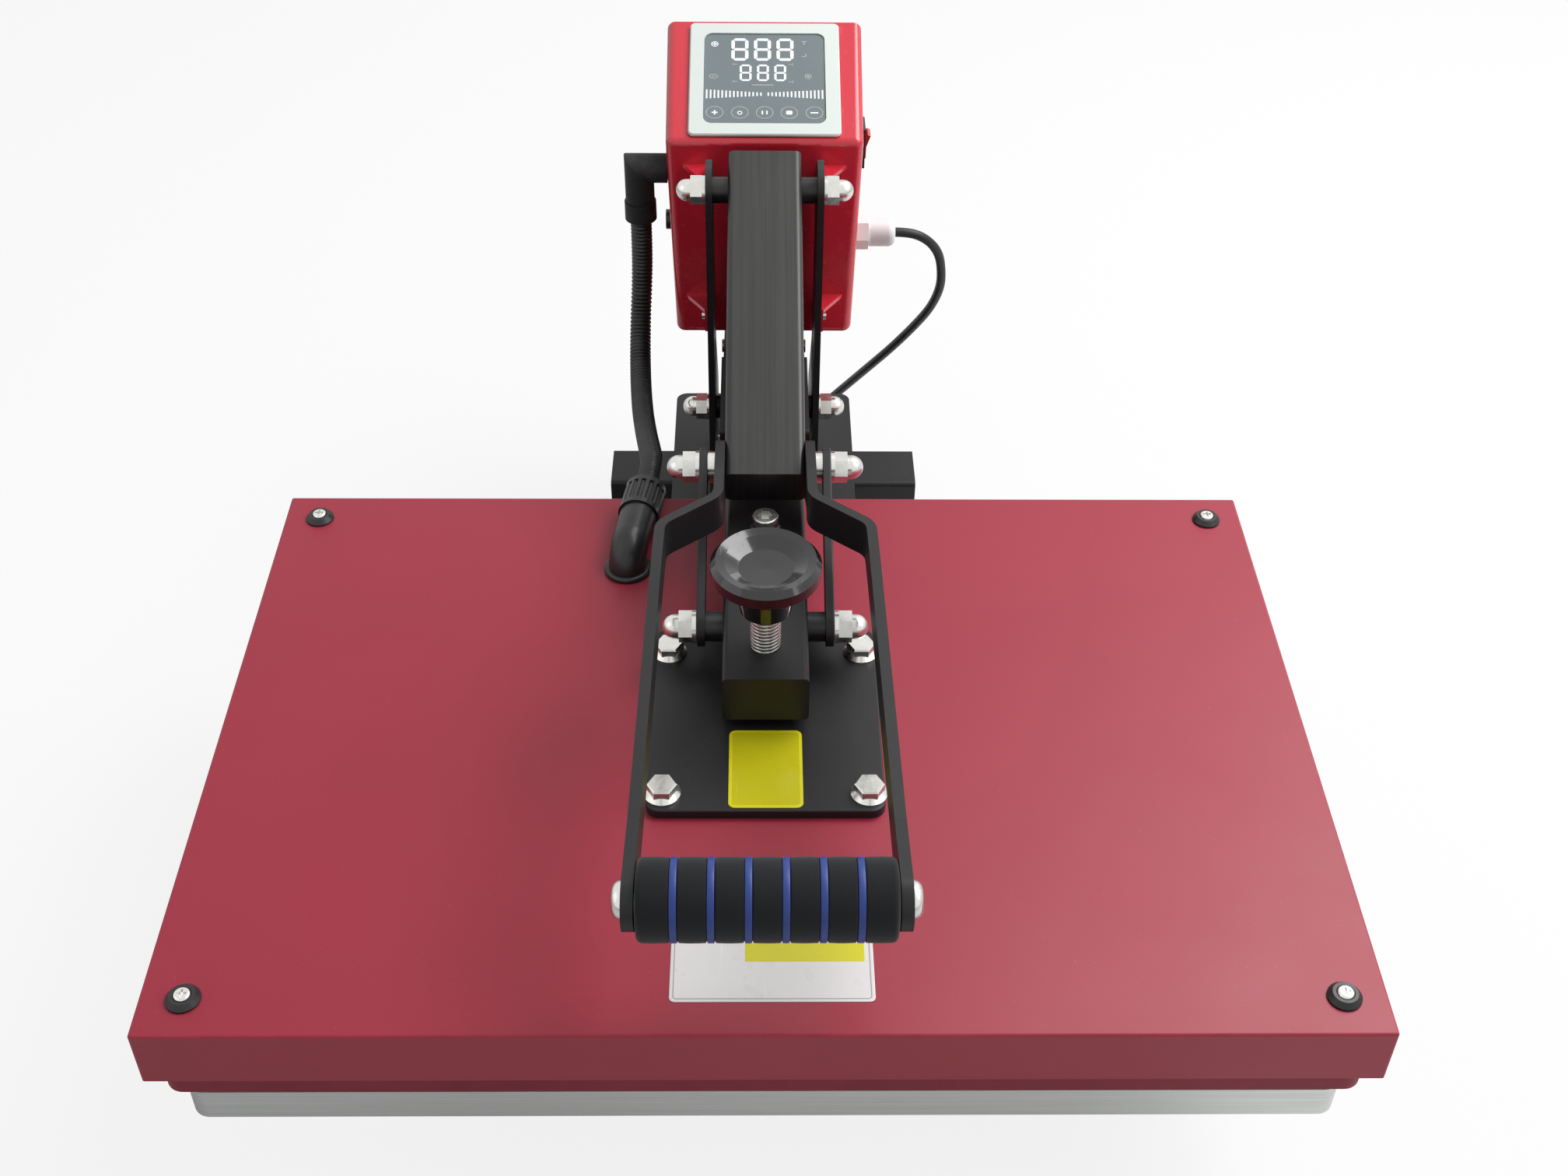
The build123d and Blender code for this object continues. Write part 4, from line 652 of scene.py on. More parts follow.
def knob_plastic(colours):
    """Polished black moulding: deep gloss, with hairline marks from handling."""
    made = Finish("knob_gloss_black", (0.008, 0.008, 0.009), 0.14, coat_weight=0.4, coat_roughness=0.05)
    hair = made.noise(360.0, 2.0, stretch=(1.0, 0.06, 1.0), turn=(0.0, 0.0, 0.9)).above(0.68, 0.06)
    made.paint(made.noise(30.0, 3.0).above(0.5, 0.4) * 0.3, (0.016, 0.016, 0.017))
    made.rough(0.1 + hair * 0.2 + made.noise(40.0, 3.0) * 0.08)
    made.relief(made.noise(260.0, 2.0), 0.00002, 0.2)
    return made.material


def small_plastic(colours):
    """Moulded black plastic of cups, spacers and the connector: satin with a light grain."""
    made = Finish("moulded_black", (0.014, 0.014, 0.015), 0.34, specular_ior_level=0.45)
    made.paint(made.noise(70.0, 4.0).above(0.55, 0.3) * 0.35, (0.04, 0.04, 0.04))
    made.rough(0.28 + made.noise(180.0) * 0.16)
    made.relief(made.noise(1000.0, 1.0), 0.00003, 0.35)
    return made.material


def rocker_plastic(colours):
    """The switch rocker: clear red, glossy."""
    made = Finish("rocker_red", (0.62, 0.02, 0.02), 0.16, coat_weight=0.5, coat_roughness=0.05)
    made.paint(made.noise(120.0, 2.0).above(0.5, 0.5) * 0.3, (0.42, 0.01, 0.012))
    made.rough(0.14 + made.noise(200.0) * 0.1)
    return made.material


def board_resin(colours):
    """Control board: green resist with darker tracks."""
    made = Finish("board_green", (0.02, 0.16, 0.06), 0.32)
    tracks = made.stripes(90.0, "X").above(0.7, 0.1).largest(made.stripes(70.0, "Y").above(0.8, 0.1))
    made.paint(tracks * 0.6, (0.01, 0.08, 0.03))
    made.rough(0.26 + made.noise(150.0) * 0.16)
    made.relief(tracks, 0.00005, 0.5)
    return made.material


def glass_blanket(colours):
    """Glass fibre blanket: crossed pale threads with brown scorch in patches."""
    made = Finish("glass_blanket", (0.7, 0.66, 0.56), 0.88, specular_ior_level=0.2, sheen_weight=0.2)
    weave = made.stripes(260.0, "X") * 0.5 + made.stripes(260.0, "Y") * 0.5
    tone = made.paint(weave.above(0.5, 0.6) * 0.5, (0.52, 0.48, 0.4))
    made.paint(made.noise(12.0, 4.0).above(0.58, 0.2) * 0.4, (0.4, 0.3, 0.2), tone)
    made.rough(0.84 + made.noise(90.0) * 0.08)
    made.relief(weave, 0.0003, 0.6)
    return made.material


def spring_wire(colours):
    """Spring wire: dark drawn steel with an oily sheen."""
    made = Finish("spring_wire", (0.3, 0.3, 0.3), 0.3, metal=1.0)
    made.paint(made.noise(160.0, 4.0).above(0.5, 0.35) * 0.6, (0.12, 0.11, 0.1))
    made.rough(0.24 + made.noise(400.0) * 0.2)
    made.relief(made.noise(1500.0, 1.0), 0.00002, 0.3)
    return made.material


def pin_metal(colours):
    """Nickel plated plug pins: bright, with insertion marks along them."""
    made = Finish("plug_pin", (0.75, 0.72, 0.64), 0.2, metal=1.0)
    rub = made.noise(900.0, 2.0, stretch=(0.05, 1.0, 1.0))
    made.paint(rub.above(0.55, 0.3) * 0.4, (0.5, 0.46, 0.38))
    made.rough(0.16 + rub * 0.2)
    return made.material


def shield_metal(colours):
    """The inner tray: the cover's red on the outside of a thin sheet, darkened as painted shade, and duller.
    """
    # Painted shade: the tray's red is the cover's red darkened, for the recess under the cover.
    made = Finish("tray_red_painted_shade", shade(colours.cover_red, 0.72), 0.52, specular_ior_level=0.35)
    made.paint(made.noise(20.0, 4.0).above(0.52, 0.3) * 0.4, shade(colours.cover_red, 0.45))
    made.rough(0.46 + made.noise(80.0) * 0.16)
    made.relief(made.noise(500.0, 2.0), 0.00005, 0.3)
    return made.material


NODE_FINISHES = (
    (cover_paint, ("top_cover",)),
    (shield_metal, ("heat_shield",)),
    (box_plastic, ("control_box", "box_rear_cover")),
    (plate_paint, ("spine_plate", "front_crossbar", "rear_crossbar", "platen_beams", "uprights", "arm_tube",
                   "arm_cheeks", "toggle_links", "fork_bars", "mounting_plate")),
    (tube_paint, ("handle_tube",)),
    (plated, ("frame_cap_nuts", "link_cap_nuts", "knee_cap_nuts", "knee_washers", "grip_bolts",
              "flange_bolts", "corner_screws", "box_screws", "stop_screw")),
    (bare_steel, ("frame_pins", "arm_pins", "knee_bolt", "grip_rod", "standoff_posts", "heating_element",
                  "temperature_probe")),
    (milled, ("lower_platen",)),
    (platen_coat, ("heating_plate",)),
    (soft_rubber, ("hose_elbow",)),
    (rocker_plastic, ("switch_rocker",)),
    (bezel_plastic, ("display_bezel",)),
    (panel_glass, ("display_panel",)),
    (white_nylon, ("cable_gland",)),
    (knob_plastic, ("pressure_knob",)),
    (small_plastic, ("corner_cup_washers", "frame_spacers", "link_spacers", "hose_connector",
                     "switch_housing", "fuse_holder")),
    (board_resin, ("control_board",)),
)


# Surfaces

def to_frame(corners):
    """Workshop millimetres, back from the cover's front and up from the table, as the frame's metres."""
    corners = np.asarray(corners, float)
    return (corners - np.array([0.0, ORIGIN_Y, 0.0])) * MM


def build(name, parts, material, smooth=True):
    """A mesh of grids of corners, in workshop millimetres.

    Each part is (corners, rows close, columns close), and each four neighbours make a face.
    Corners that meet are merged, and the faces are turned outwards.
    """
    corners = []
    faces = []
    start = 0
    for grid, close_rows, close_columns in parts:
        rows, columns = grid.shape[:2]
        i = np.arange(rows if close_rows else rows - 1)[:, None]
        j = np.arange(columns if close_columns else columns - 1)[None, :]
        below = (i + 1) % rows
        beside = (j + 1) % columns
        quads = np.stack([i * columns + j, below * columns + j, below * columns + beside,
                          i * columns + beside], axis=-1)
        faces.append(quads.reshape(-1, 4) + start)
        corners.append(to_frame(grid).reshape(-1, 3))
        start += rows * columns
    mesh = bpy.data.meshes.new(name)
    mesh.from_pydata(np.concatenate(corners), [], np.concatenate(faces))
    work = bmesh.new()
    work.from_mesh(mesh)
    bmesh.ops.remove_doubles(work, verts=work.verts, dist=2e-6)
    bmesh.ops.dissolve_degenerate(work, edges=work.edges, dist=1e-7)
    bmesh.ops.recalc_face_normals(work, faces=work.faces)
    work.to_mesh(mesh)
    work.free()
    if smooth:
        mesh.shade_smooth()
        mesh.set_sharp_from_angle(angle=math.radians(38))
    made = bpy.data.objects.new(name, mesh)
    bpy.context.scene.collection.objects.link(made)
    mesh.materials.append(material)
    return made


def turned(profile, axis, centre, count):
    """A turned form: a corner is the centre, plus its reach along the axis, plus its radius at an angle."""
    profile = np.asarray(profile, float)
    angle = np.linspace(0, TURN, count, endpoint=False)
    along = profile[:, 0][:, None] + 0 * angle[None, :]
    side = profile[:, 1][:, None] * np.cos(angle)[None, :]
    up = profile[:, 1][:, None] * np.sin(angle)[None, :]
    order = (along, side, up) if axis == "x" else (side, up, along)
    return np.stack(order, axis=-1) + np.asarray(centre, float)


def rounded_loop(width, depth, radius, per_corner=CORNER_POINTS):
    """A rectangle with round corners: each is its centre plus the radius, over a quarter turn."""
    angle = np.linspace(0, TURN / 4, per_corner)
    quarter = np.arange(4) * TURN / 4
    turn = quarter[:, None] + angle[None, :]
    sign_x = np.array([1, -1, -1, 1])[:, None]
    sign_y = np.array([1, 1, -1, -1])[:, None]
    x = sign_x * (width / 2 - radius) + radius * np.cos(turn)
    y = sign_y * (depth / 2 - radius) + radius * np.sin(turn)
    return np.stack([x, y], axis=-1).reshape(-1, 2)


def slab(width, depth, radius, centre, levels):
    """A plate with round corners: loops shrunk by an inset at each height, closed at its two middles."""
    rings = []
    for height, inset in levels:
        if inset is None:
            ring = np.zeros((4 * CORNER_POINTS, 2))
        else:
            ring = rounded_loop(width - 2 * inset, depth - 2 * inset, max(radius - inset, 0.05))
        rings.append(np.column_stack([ring, np.full(len(ring), height)]))
    return np.stack(rings) + np.asarray(centre, float)


def edge_levels(low, high, round_off):
    """Heights and insets of a plate whose rim is rounded by quarter circles."""
    angle = np.linspace(0, TURN / 4, 5)
    lower = [(low + round_off * (1 - math.sin(a)), round_off * (1 - math.cos(a))) for a in angle[::-1]]
    upper = [(high - round_off * (1 - math.sin(a)), round_off * (1 - math.cos(a))) for a in angle]
    flat = round_off + 0.6
    return [(low, None), (low, flat)] + lower + upper + [(high, flat), (high, None)]


def smooth_step(share):
    """0 below 0, 1 above 1, and a soft S between them."""
    share = np.clip(share, 0, 1)
    return share * share * (3 - 2 * share)


def tube_along(path, radius, count, reference):
    """A tube round a path: each corner is a path point plus the radius, across the path's direction.

    The two directions across come from the path's tangent and a reference that is never along it.
    """
    tangent = np.gradient(path, axis=0)
    tangent /= np.linalg.norm(tangent, axis=1, keepdims=True)
    side = np.cross(tangent, reference)
    side /= np.linalg.norm(side, axis=1, keepdims=True)
    up = np.cross(side, tangent)
    angle = np.linspace(0, TURN, count, endpoint=False)
    across = (side[:, None, :] * np.cos(angle)[None, :, None] + up[:, None, :] * np.sin(angle)[None, :, None])
    return path[:, None, :] + across * np.asarray(radius, float).reshape(-1, 1, 1)


def with_tips(path, radius):
    """A path and its radii, closed at both ends by a point on the path."""
    path = np.concatenate([path[:1], path, path[-1:]])
    tip = path[1] + (path[1] - path[2]) * 1e-3
    end = path[-2] + (path[-2] - path[-3]) * 1e-3
    path[0] = tip
    path[-1] = end
    return path, np.concatenate([[0.0], radius, [0.0]])


def pulled_line(name, corners, resolution):
    """A smooth line that its corner points pull on, which starts and ends at the outer two."""
    curve = bpy.data.curves.new(name, "CURVE")
    curve.dimensions = "3D"
    spline = curve.splines.new("NURBS")
    spline.points.add(len(corners) - 1)
    flat = np.column_stack([to_frame(corners), np.ones(len(corners))])
    spline.points.foreach_set("co", flat.astype(np.float32).ravel())
    spline.order_u = 3
    spline.use_endpoint_u = True
    curve.resolution_u = resolution
    made = bpy.data.objects.new(name, curve)
    bpy.context.scene.collection.objects.link(made)
    return made


def line_points(line):
    """The points along a line that has no thickness, in workshop millimetres."""
    bpy.context.view_layer.update()
    mesh = bpy.data.meshes.new_from_object(line)
    flat = np.zeros(len(mesh.vertices) * 3, np.float32)
    mesh.vertices.foreach_get("co", flat)
    bpy.data.meshes.remove(mesh)
    return flat.reshape(-1, 3).astype(float) / MM + np.array([0.0, ORIGIN_Y, 0.0])


# Cord, plug and tie

def coil_corners():
    """The coil's points: a flat spiral inwards, a climb of one cord in half a turn, and a spiral out."""
    turns = np.arange(0, COIL_TURNS * COIL_POINTS + 1) / COIL_POINTS
    angle = TURN / 4 + TURN * turns
    middle = COIL_TURNS / 2
    radius = COIL_R - COIL_STEP * (middle - np.abs(turns - middle))
    height = CORD_LAY + COIL_LAYER * smooth_step((turns - 2) / 0.5)
    return np.stack([radius * np.cos(angle), COIL_Y + radius * np.sin(angle), height], axis=-1)


def make_cord(colours, sizes):
    """The mains cord as one smooth line, from the gland down to the coil and its plug."""
    coil = coil_corners()
    end = coil[-1] + COIL_TAIL * X_AXIS
    tail_reach = np.array([COIL_TAIL / 3, COIL_TAIL * 2 / 3, COIL_TAIL + 5.0])
    tail = coil[-1] + tail_reach[:, None] * X_AXIS
    corners = np.concatenate([np.array(CORD_ROUTE), coil, tail])
    cord = pulled_line("mains_cord", corners, 6)
    cord.data.bevel_depth = sizes.cord_width / 2
    cord.data.bevel_resolution = 4
    cord.data.use_fill_caps = True
    cord.data.materials.append(cord_jacket(colours))
    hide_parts("power_cord", "cord_coil")
    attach(cord, "frame")
    plug = make_plug(colours, end)
    pins = make_plug_pins(colours, end)
    tie = make_tie(colours)
    to_frame(CORD_ROUTE[0])


def make_plug(colours, at):
    """The plug: a neck of shrinking ribs that swells into a waisted grip with a flat front."""
    front_round = 0.8
    rib = np.linspace(0, PLUG_NECK, 49)
    neck = 4.6 + rib * 0.12 + 0.7 * np.cos(rib / PLUG_RIB * TURN)
    body = np.linspace(0, 1, 30)
    reach = PLUG_NECK + body * (PLUG_LENGTH - PLUG_NECK - front_round)
    waist = 0.7 * np.sin(math.pi * np.clip((body - 0.2) / 0.7, 0, 1))
    width = 6.4 + 3.0 * smooth_step(body / 0.2) - waist
    profile = [(0.0, 0.0)]
    profile += list(zip(rib, neck))
    profile += list(zip(reach[1:], width[1:]))
    profile += [(PLUG_LENGTH - 0.3, 9.0), (PLUG_LENGTH, 8.3), (PLUG_LENGTH, 0.0)]
    plug = build("plug_body", [(turned(profile, "x", at, 40), False, True)], soft_rubber(colours))
    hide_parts("cord_plug")
    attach(plug, "frame")
    return plug


def make_plug_pins(colours, at):
    """Two round pins with domed tips."""
    angle = np.linspace(0, TURN / 4, 6)
    tip = [(PIN_LENGTH - PIN_R + PIN_R * math.sin(a), PIN_R * math.cos(a)) for a in angle]
    profile = [(-1.0, 0.0), (-1.0, PIN_R), (0.4, PIN_R)] + tip[:-1] + [(PIN_LENGTH, 0.0)]
    parts = []
    for side in (-1, 1):
        centre = at + np.array([PLUG_LENGTH, side * PIN_SPACING / 2, 0.0])
        parts.append((turned(profile, "x", centre, 24), False, True))
    pins = build("plug_pins", parts, pin_metal(colours))
    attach(pins, "frame")
    return pins


def make_tie(colours):
    """The strap round the coil: a round-cornered loop carried across the strap's width."""
    span = STRAP_RIGHT - STRAP_LEFT
    inset = np.array([0.0, 0.25, 1.0, 1.2, 1.2, 1.0, 0.25, 0.0])
    across = np.array([-6.6, -7.0, -7.0, -6.6, 6.6, 7.0, 7.0, 6.6])
    rings = []
    for step_in, reach in zip(inset, across):
        loop = rounded_loop(span - 2 * step_in, STRAP_TOP - 2 * step_in, 5.2 - step_in)
        rings.append(np.column_stack([loop[:, 0], np.full(len(loop), reach), loop[:, 1]]))
    centre = np.array([(STRAP_LEFT + STRAP_RIGHT) / 2, COIL_Y, STRAP_TOP / 2])
    tie = build("coil_strap", [(np.stack(rings) + centre, True, True)], soft_rubber(colours))
    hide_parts("cord_tie")
    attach(tie, "frame")
    return tie


# Hose

def make_hose(colours, sizes):
    """The corrugated hose: its radius rises and falls once a rib along a smooth line, round a plain bore."""
    corners = list(HOSE_MIDDLE)
    corners.append(tuple(CONNECTOR_MOUTH + CONNECTOR_DIR * 24.0))
    corners.append(tuple(CONNECTOR_MOUTH - CONNECTOR_DIR * 16.0))
    guide = pulled_line("hose_line", np.array(corners), 24)
    line = line_points(guide)
    bpy.data.objects.remove(guide)
    step = np.linalg.norm(np.diff(line, axis=0), axis=1)
    reach = np.concatenate([[0.0], np.cumsum(step)])
    total = reach[-1]
    ribbed = total - 2 * HOSE_PLAIN_END
    ribs = int(ribbed // (sizes.hose_pitch / MM))
    count = ribs * RIB_POINTS + 12
    place = np.linspace(0, total, count)
    path = np.stack([np.interp(place, reach, line[:, k]) for k in range(3)], axis=-1)
    phase = (place - HOSE_PLAIN_END) / ribbed * ribs
    wave = 0.5 - 0.5 * np.cos(TURN * phase)
    inside = (place > HOSE_PLAIN_END) & (place < total - HOSE_PLAIN_END)
    rib_height = sizes.hose_width / MM / 2 - HOSE_VALLEY_R
    outer = HOSE_VALLEY_R + rib_height * np.where(inside, np.sqrt(wave), HOSE_END_SHARE)
    skin = tube_along(path, outer, HOSE_AROUND, X_AXIS)
    bore = tube_along(path, np.full(count, HOSE_BORE_R), HOSE_AROUND, X_AXIS)
    grid = np.concatenate([skin, bore[::-1]])
    hose = build("ribbed_hose", [(grid, True, True)], hose_plastic(colours))
    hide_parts("corrugated_hose")
    to_frame(corners[1])
    to_frame(corners[-2])
    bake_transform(hose)
    to_frame(path[0])
    to_frame(path)


# Grip

def make_grip(colours, sizes):
    """The foam sleeve: its radius dips at each ring and swells a little between them."""
    reach = np.linspace(-GRIP_HALF, GRIP_HALF, 421)
    nearest = np.abs(reach[:, None] - RING_PLACES[None, :]).min(axis=1)
    half = sizes.ring_width / MM / 2
    ring_dip, dip_slope, crown_reach, end_round = 1.2, 0.7, 9.2, 3.0
    dip = ring_dip * (1 - smooth_step((nearest - half) / dip_slope))
    swell = sizes.grip_crown / MM * (1 - np.clip((crown_reach - nearest) / crown_reach, -1, 1) ** 2)
    from_end = GRIP_HALF - np.abs(reach)
    rounding = np.sqrt(end_round ** 2 - np.clip(end_round - from_end, 0, end_round) ** 2) - end_round
    radius = GRIP_R - dip + swell + rounding
    profile = [(-GRIP_HALF, GRIP_BORE)] + list(zip(reach, radius)) + [(GRIP_HALF, GRIP_BORE)]
    bore = [(place, GRIP_BORE) for place in np.linspace(GRIP_HALF, -GRIP_HALF, 12)[1:-1]]
    grid = turned(profile + bore, "x", (0.0, GRIP_Y, GRIP_Z), 72)
    foam = build("grip_sleeve", [(grid, True, True)], grip_foam(colours))
    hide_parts("foam_grip")
    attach(foam, "handle")


def make_rings(colours, sizes):
    """Six rings: a rounded section carried round the sleeve."""
    half = sizes.ring_width / MM / 2
    angle = np.linspace(0, TURN, 20, endpoint=False)
    along = half * np.sign(np.cos(angle)) * np.abs(np.cos(angle)) ** 0.5
    out = RING_R + RING_PROUD * np.sign(np.sin(angle)) * np.abs(np.sin(angle)) ** 0.6
    parts = []
    for place in RING_PLACES:
        profile = np.stack([along + place, out], axis=-1)
        parts.append((turned(profile, "x", (0.0, GRIP_Y, GRIP_Z), 72), True, True))
    rings = build("grip_bands", parts, ring_rubber(colours))
    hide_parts("grip_rings")
    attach(rings, "handle")


# Pad and blanket

def make_pad(colours):
    """The silicone pad, whose sides swell where it is pressed."""
    angle = np.linspace(-TURN / 4, TURN / 4, 13)
    middle = (PAD_LOW + PAD_HIGH) / 2
    half = (PAD_HIGH - PAD_LOW) / 2
    side = [(middle + half * math.sin(a), PAD_SWELL * (1 - math.cos(a))) for a in angle]
    below = [(PAD_LOW, None), (PAD_LOW, 3.0)]
    above = [(PAD_HIGH, 3.0), (PAD_HIGH, 4.0), (PAD_HIGH, None)]
    grid = slab(PAD_WIDTH, PAD_DEPTH, 4.0, (0.0, COVER_DEPTH / 2, 0.0), below + side + above)
    pad = build("silicone_sheet", [(grid, False, True)], silicone(colours))
    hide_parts("silicone_pad")
    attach(pad, "frame")


def make_blanket(colours):
    """The insulation blanket: the frame's own form with its rims rounded."""
    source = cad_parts["insulation_blanket"]
    mesh = source.data.copy()
    work = bmesh.new()
    work.from_mesh(mesh)
    bmesh.ops.remove_doubles(work, verts=work.verts, dist=1e-6)
    bmesh.ops.recalc_face_normals(work, faces=work.faces)
    work.to_mesh(mesh)
    work.free()
    mesh.name = "blanket_quilt"
    mesh.materials.clear()
    mesh.materials.append(glass_blanket(colours))
    quilt = bpy.data.objects.new("blanket_quilt", mesh)
    bpy.context.scene.collection.objects.link(quilt)
    bevel = quilt.modifiers.new("rims", "BEVEL")
    bevel.width = 0.0012
    bevel.segments = 2
    bevel.limit_method = "ANGLE"
    bevel.angle_limit = math.radians(50)
    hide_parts("insulation_blanket")
    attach(quilt, "platen")


# Feet, springs and screw

def make_feet(colours):
    """Four feet: a turned form with two grip grooves and a dished, rounded sole."""
    sole = [(2.2, 0.0), (2.0, 5.0), (0.6, 6.0), (0.0, 8.0), (0.0, 13.2), (0.6, 14.4), (2.0, 15.2)]
    wall = [(4.0, 15.5), (5.0, 15.0), (6.0, 15.6), (7.6, 15.8), (8.6, 15.2), (9.6, 15.9)]
    top = [(15.8, 16.0), (16.7, 15.6), (17.0, 14.8), (17.0, 0.0)]
    profile = sole + wall + top
    parts = []
    for x, y in FOOT_PLACES:
        parts += [(turned(profile, "z", (side * x, y, 0.0), 48), False, True) for side in (-1, 1)]
    feet = build("ribbed_feet", parts, soft_rubber(colours))
    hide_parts("rubber_feet")
    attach(feet, "frame")


def make_springs(colours):
    """Two springs: a steady helix whose end turns run in, and a round eye about each pin."""
    low = np.array([0.0, ANCHOR[0], ANCHOR[1]])
    high = np.array([0.0, LEVER[0], LEVER[1]])
    span = np.linalg.norm(high - low)
    axis = (high - low) / span
    out = np.cross(axis, X_AXIS)
    end_turn, end_radius, around = 0.9, 0.6, 12
    turns = np.linspace(0, SPRING_TURNS, SPRING_TURNS * SPRING_POINTS + 1)
    along = SPRING_R + (span - 2 * SPRING_R) * turns / SPRING_TURNS
    taper = smooth_step(turns / end_turn) * smooth_step((SPRING_TURNS - turns) / end_turn)
    radius = end_radius + (SPRING_R - end_radius) * taper
    angle = TURN * turns
    helix = (low + along[:, None] * axis + (radius * np.cos(angle))[:, None] * X_AXIS
             + (radius * np.sin(angle))[:, None] * out)
    wire = np.full(len(helix), WIRE_R)
    eye_angle = np.linspace(0, TURN, 48, endpoint=False)[:, None]
    outward = np.cos(eye_angle) * axis + np.sin(eye_angle) * out
    section = np.linspace(0, TURN, around, endpoint=False)[None, :, None]
    thickness = WIRE_R * (outward[:, None, :] * np.cos(section) + X_AXIS * np.sin(section))
    eye = SPRING_R * outward[:, None, :] + thickness
    parts = []
    for side in (-1, 1):
        place = side * SPRING_X * X_AXIS
        path, radii = with_tips(helix + place, wire)
        parts.append((tube_along(path, radii, around, axis), False, True))
        parts += [(pin + place + eye, True, True) for pin in (low, high)]
    springs = build("lift_coils", parts, spring_wire(colours))
    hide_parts("lift_springs")
    to_frame(low + axis * 8.0)
    to_frame(high - axis * 8.0)
    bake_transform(springs)


def make_thread(colours, sizes):
    """The pressure screw: its radius falls into a groove that climbs one pitch a turn, above a plain foot."""
    pitch = sizes.thread_pitch / MM
    count = 48
    height = np.arange(SCREW_FOOT, SCREW_TOP + 0.01, pitch / 10)
    angle = np.linspace(0, TURN, count, endpoint=False)
    phase = (height[:, None] / pitch - angle[None, :] / TURN) % 1.0
    groove_half, run_out, play = 0.34, 1.5, 0.15
    groove = np.clip(1 - np.abs(phase - 0.5) / groove_half, 0, 1)
    cut = smooth_step((height - ARM_TOP + 1.0) / run_out) * smooth_step((SCREW_TOP - 3.0 - height) / run_out)
    foot_play = play * (1 - smooth_step(height - COVER_TOP - 6.2))
    radius = SCREW_R - THREAD_DEPTH * groove * cut[:, None] - foot_play[:, None]
    wall = np.stack([radius * np.cos(angle), SCREW_Y + radius * np.sin(angle),
                     height[:, None] + 0 * radius], axis=-1)
    foot = np.zeros((1, count, 3)) + np.array([0.0, SCREW_Y, SCREW_FOOT])
    top = np.zeros((1, count, 3)) + np.array([0.0, SCREW_Y, height[-1]])
    grid = np.concatenate([foot, wall, top])
    screw = build("cut_thread", [(grid, False, True)], screw_steel(colours))
    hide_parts("pressure_screw")
    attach(screw, "screw")


# Label plates

def make_labels(colours):
    """Two plain plates with rounded rims: the yellow has a raised border, the white a line and a band."""
    yellow = label_film("label_yellow_film", tuple(colours.label_yellow))
    pale = label_film("label_yellow_border", shade(colours.label_yellow, 1.3))
    white = label_film("label_white_film", tuple(colours.label_white))
    grey = label_film("label_grey_line", (0.42, 0.36, 0.37))
    film = edge_levels(0.0, 0.4, 0.18)
    pieces = []
    for name, material, closed, grid in (
        ("yellow_plate", yellow, False, slab(42.0, 61.0, 4.0, YELLOW_PLATE, film)),
        ("yellow_plate_border", pale, True, rim_ring(41.2, 60.2, 3.6, YELLOW_PLATE, 0.3, 0.52, 1.5)),
        ("white_plate", white, False, slab(105.0, 41.0, 3.0, WHITE_PLATE, film)),
        ("white_plate_line", grey, True, rim_ring(101.6, 37.6, 2.0, WHITE_PLATE, 0.3, 0.46, 0.5)),
        ("white_plate_band", yellow, False, slab(62.0, 12.0, 0.6, WHITE_BAND, edge_levels(0.3, 0.5, 0.08))),
    ):
        pieces.append(build(name, [(grid, closed, True)], material))
    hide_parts("label_plates")
    for piece in pieces:
        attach(piece, "platen")


def rim_ring(width, depth, radius, centre, low, high, band):
    """A flat border: the outer loop up, across the band, down and back."""
    rings = []
    for inset, height in ((0.0, low), (0.0, high), (band, high), (band, low)):
        loop = rounded_loop(width - 2 * inset, depth - 2 * inset, max(radius - inset, 0.3))
        rings.append(np.column_stack([loop, np.full(len(loop), height)]))
    return np.stack(rings) + np.asarray(centre, float)


# Marks on the display

def on_panel(flat, height):
    """Points across and up the panel, at a height over it, as workshop millimetres."""
    up = np.array([0.0, math.cos(FACE_TILT), math.sin(FACE_TILT)])
    out = np.array([0.0, -math.sin(FACE_TILT), math.cos(FACE_TILT)])
    base = np.array([0.0, FACE_Y, FACE_Z]) + out * (PANEL_PROUD + height)
    return base + flat[..., :1] * X_AXIS + flat[..., 1:] * up


def tile(loop):
    """A thin closed tile on the panel, from the loop round it."""
    middle = np.zeros_like(loop) + loop.mean(axis=0)
    rows = [on_panel(middle, MARK_LOW), on_panel(loop, MARK_LOW), on_panel(loop, TILE_HIGH),
            on_panel(middle, TILE_HIGH)]
    return np.stack(rows), False, True


def hoop(outer, inner):
    """A thin closed ring on the panel, between two loops."""
    rows = [on_panel(outer, MARK_LOW), on_panel(outer, HOOP_HIGH), on_panel(inner, HOOP_HIGH),
            on_panel(inner, MARK_LOW)]
    return np.stack(rows), True, True


def bar(centre, length, width, upright):
    """One segment of a digit: a bar with pointed ends, from its half length and half width."""
    loop = np.array([(-length, 0), (-length + width, -width), (length - width, -width), (length, 0),
                     (length - width, width), (-length + width, width)])
    if upright:
        loop = loop[:, ::-1]
    return tile(loop + np.asarray(centre, float))


def digit(centre, width, height, stroke):
    """Seven segments: three across and four upright."""
    x, y = centre
    w = width / 2 - stroke / 2
    h = height / 2 - stroke / 2
    gap = stroke * 0.12
    across = [bar((x, y + k * h), w - gap, stroke / 2, False) for k in (-1, 0, 1)]
    upright = [bar((x + i * w, y + k * h / 2), h / 2 - gap, stroke / 2, True)
               for i in (-1, 1) for k in (-1, 1)]
    return across + upright


def block_tile(x, y, width, height):
    """A small block with softened corners."""
    return tile(rounded_loop(width, height, min(width, height) * 0.2, 3) + np.array([x, y]))


def round_hoop(x, y, across, high, stroke):
    """An oval outline."""
    angle = np.linspace(0, TURN, 48, endpoint=False)
    unit = np.stack([np.cos(angle), np.sin(angle)], axis=-1)
    centre = np.array([x, y])
    half = np.array([across, high]) / 2
    return hoop(centre + unit * half, centre + unit * (half - stroke))


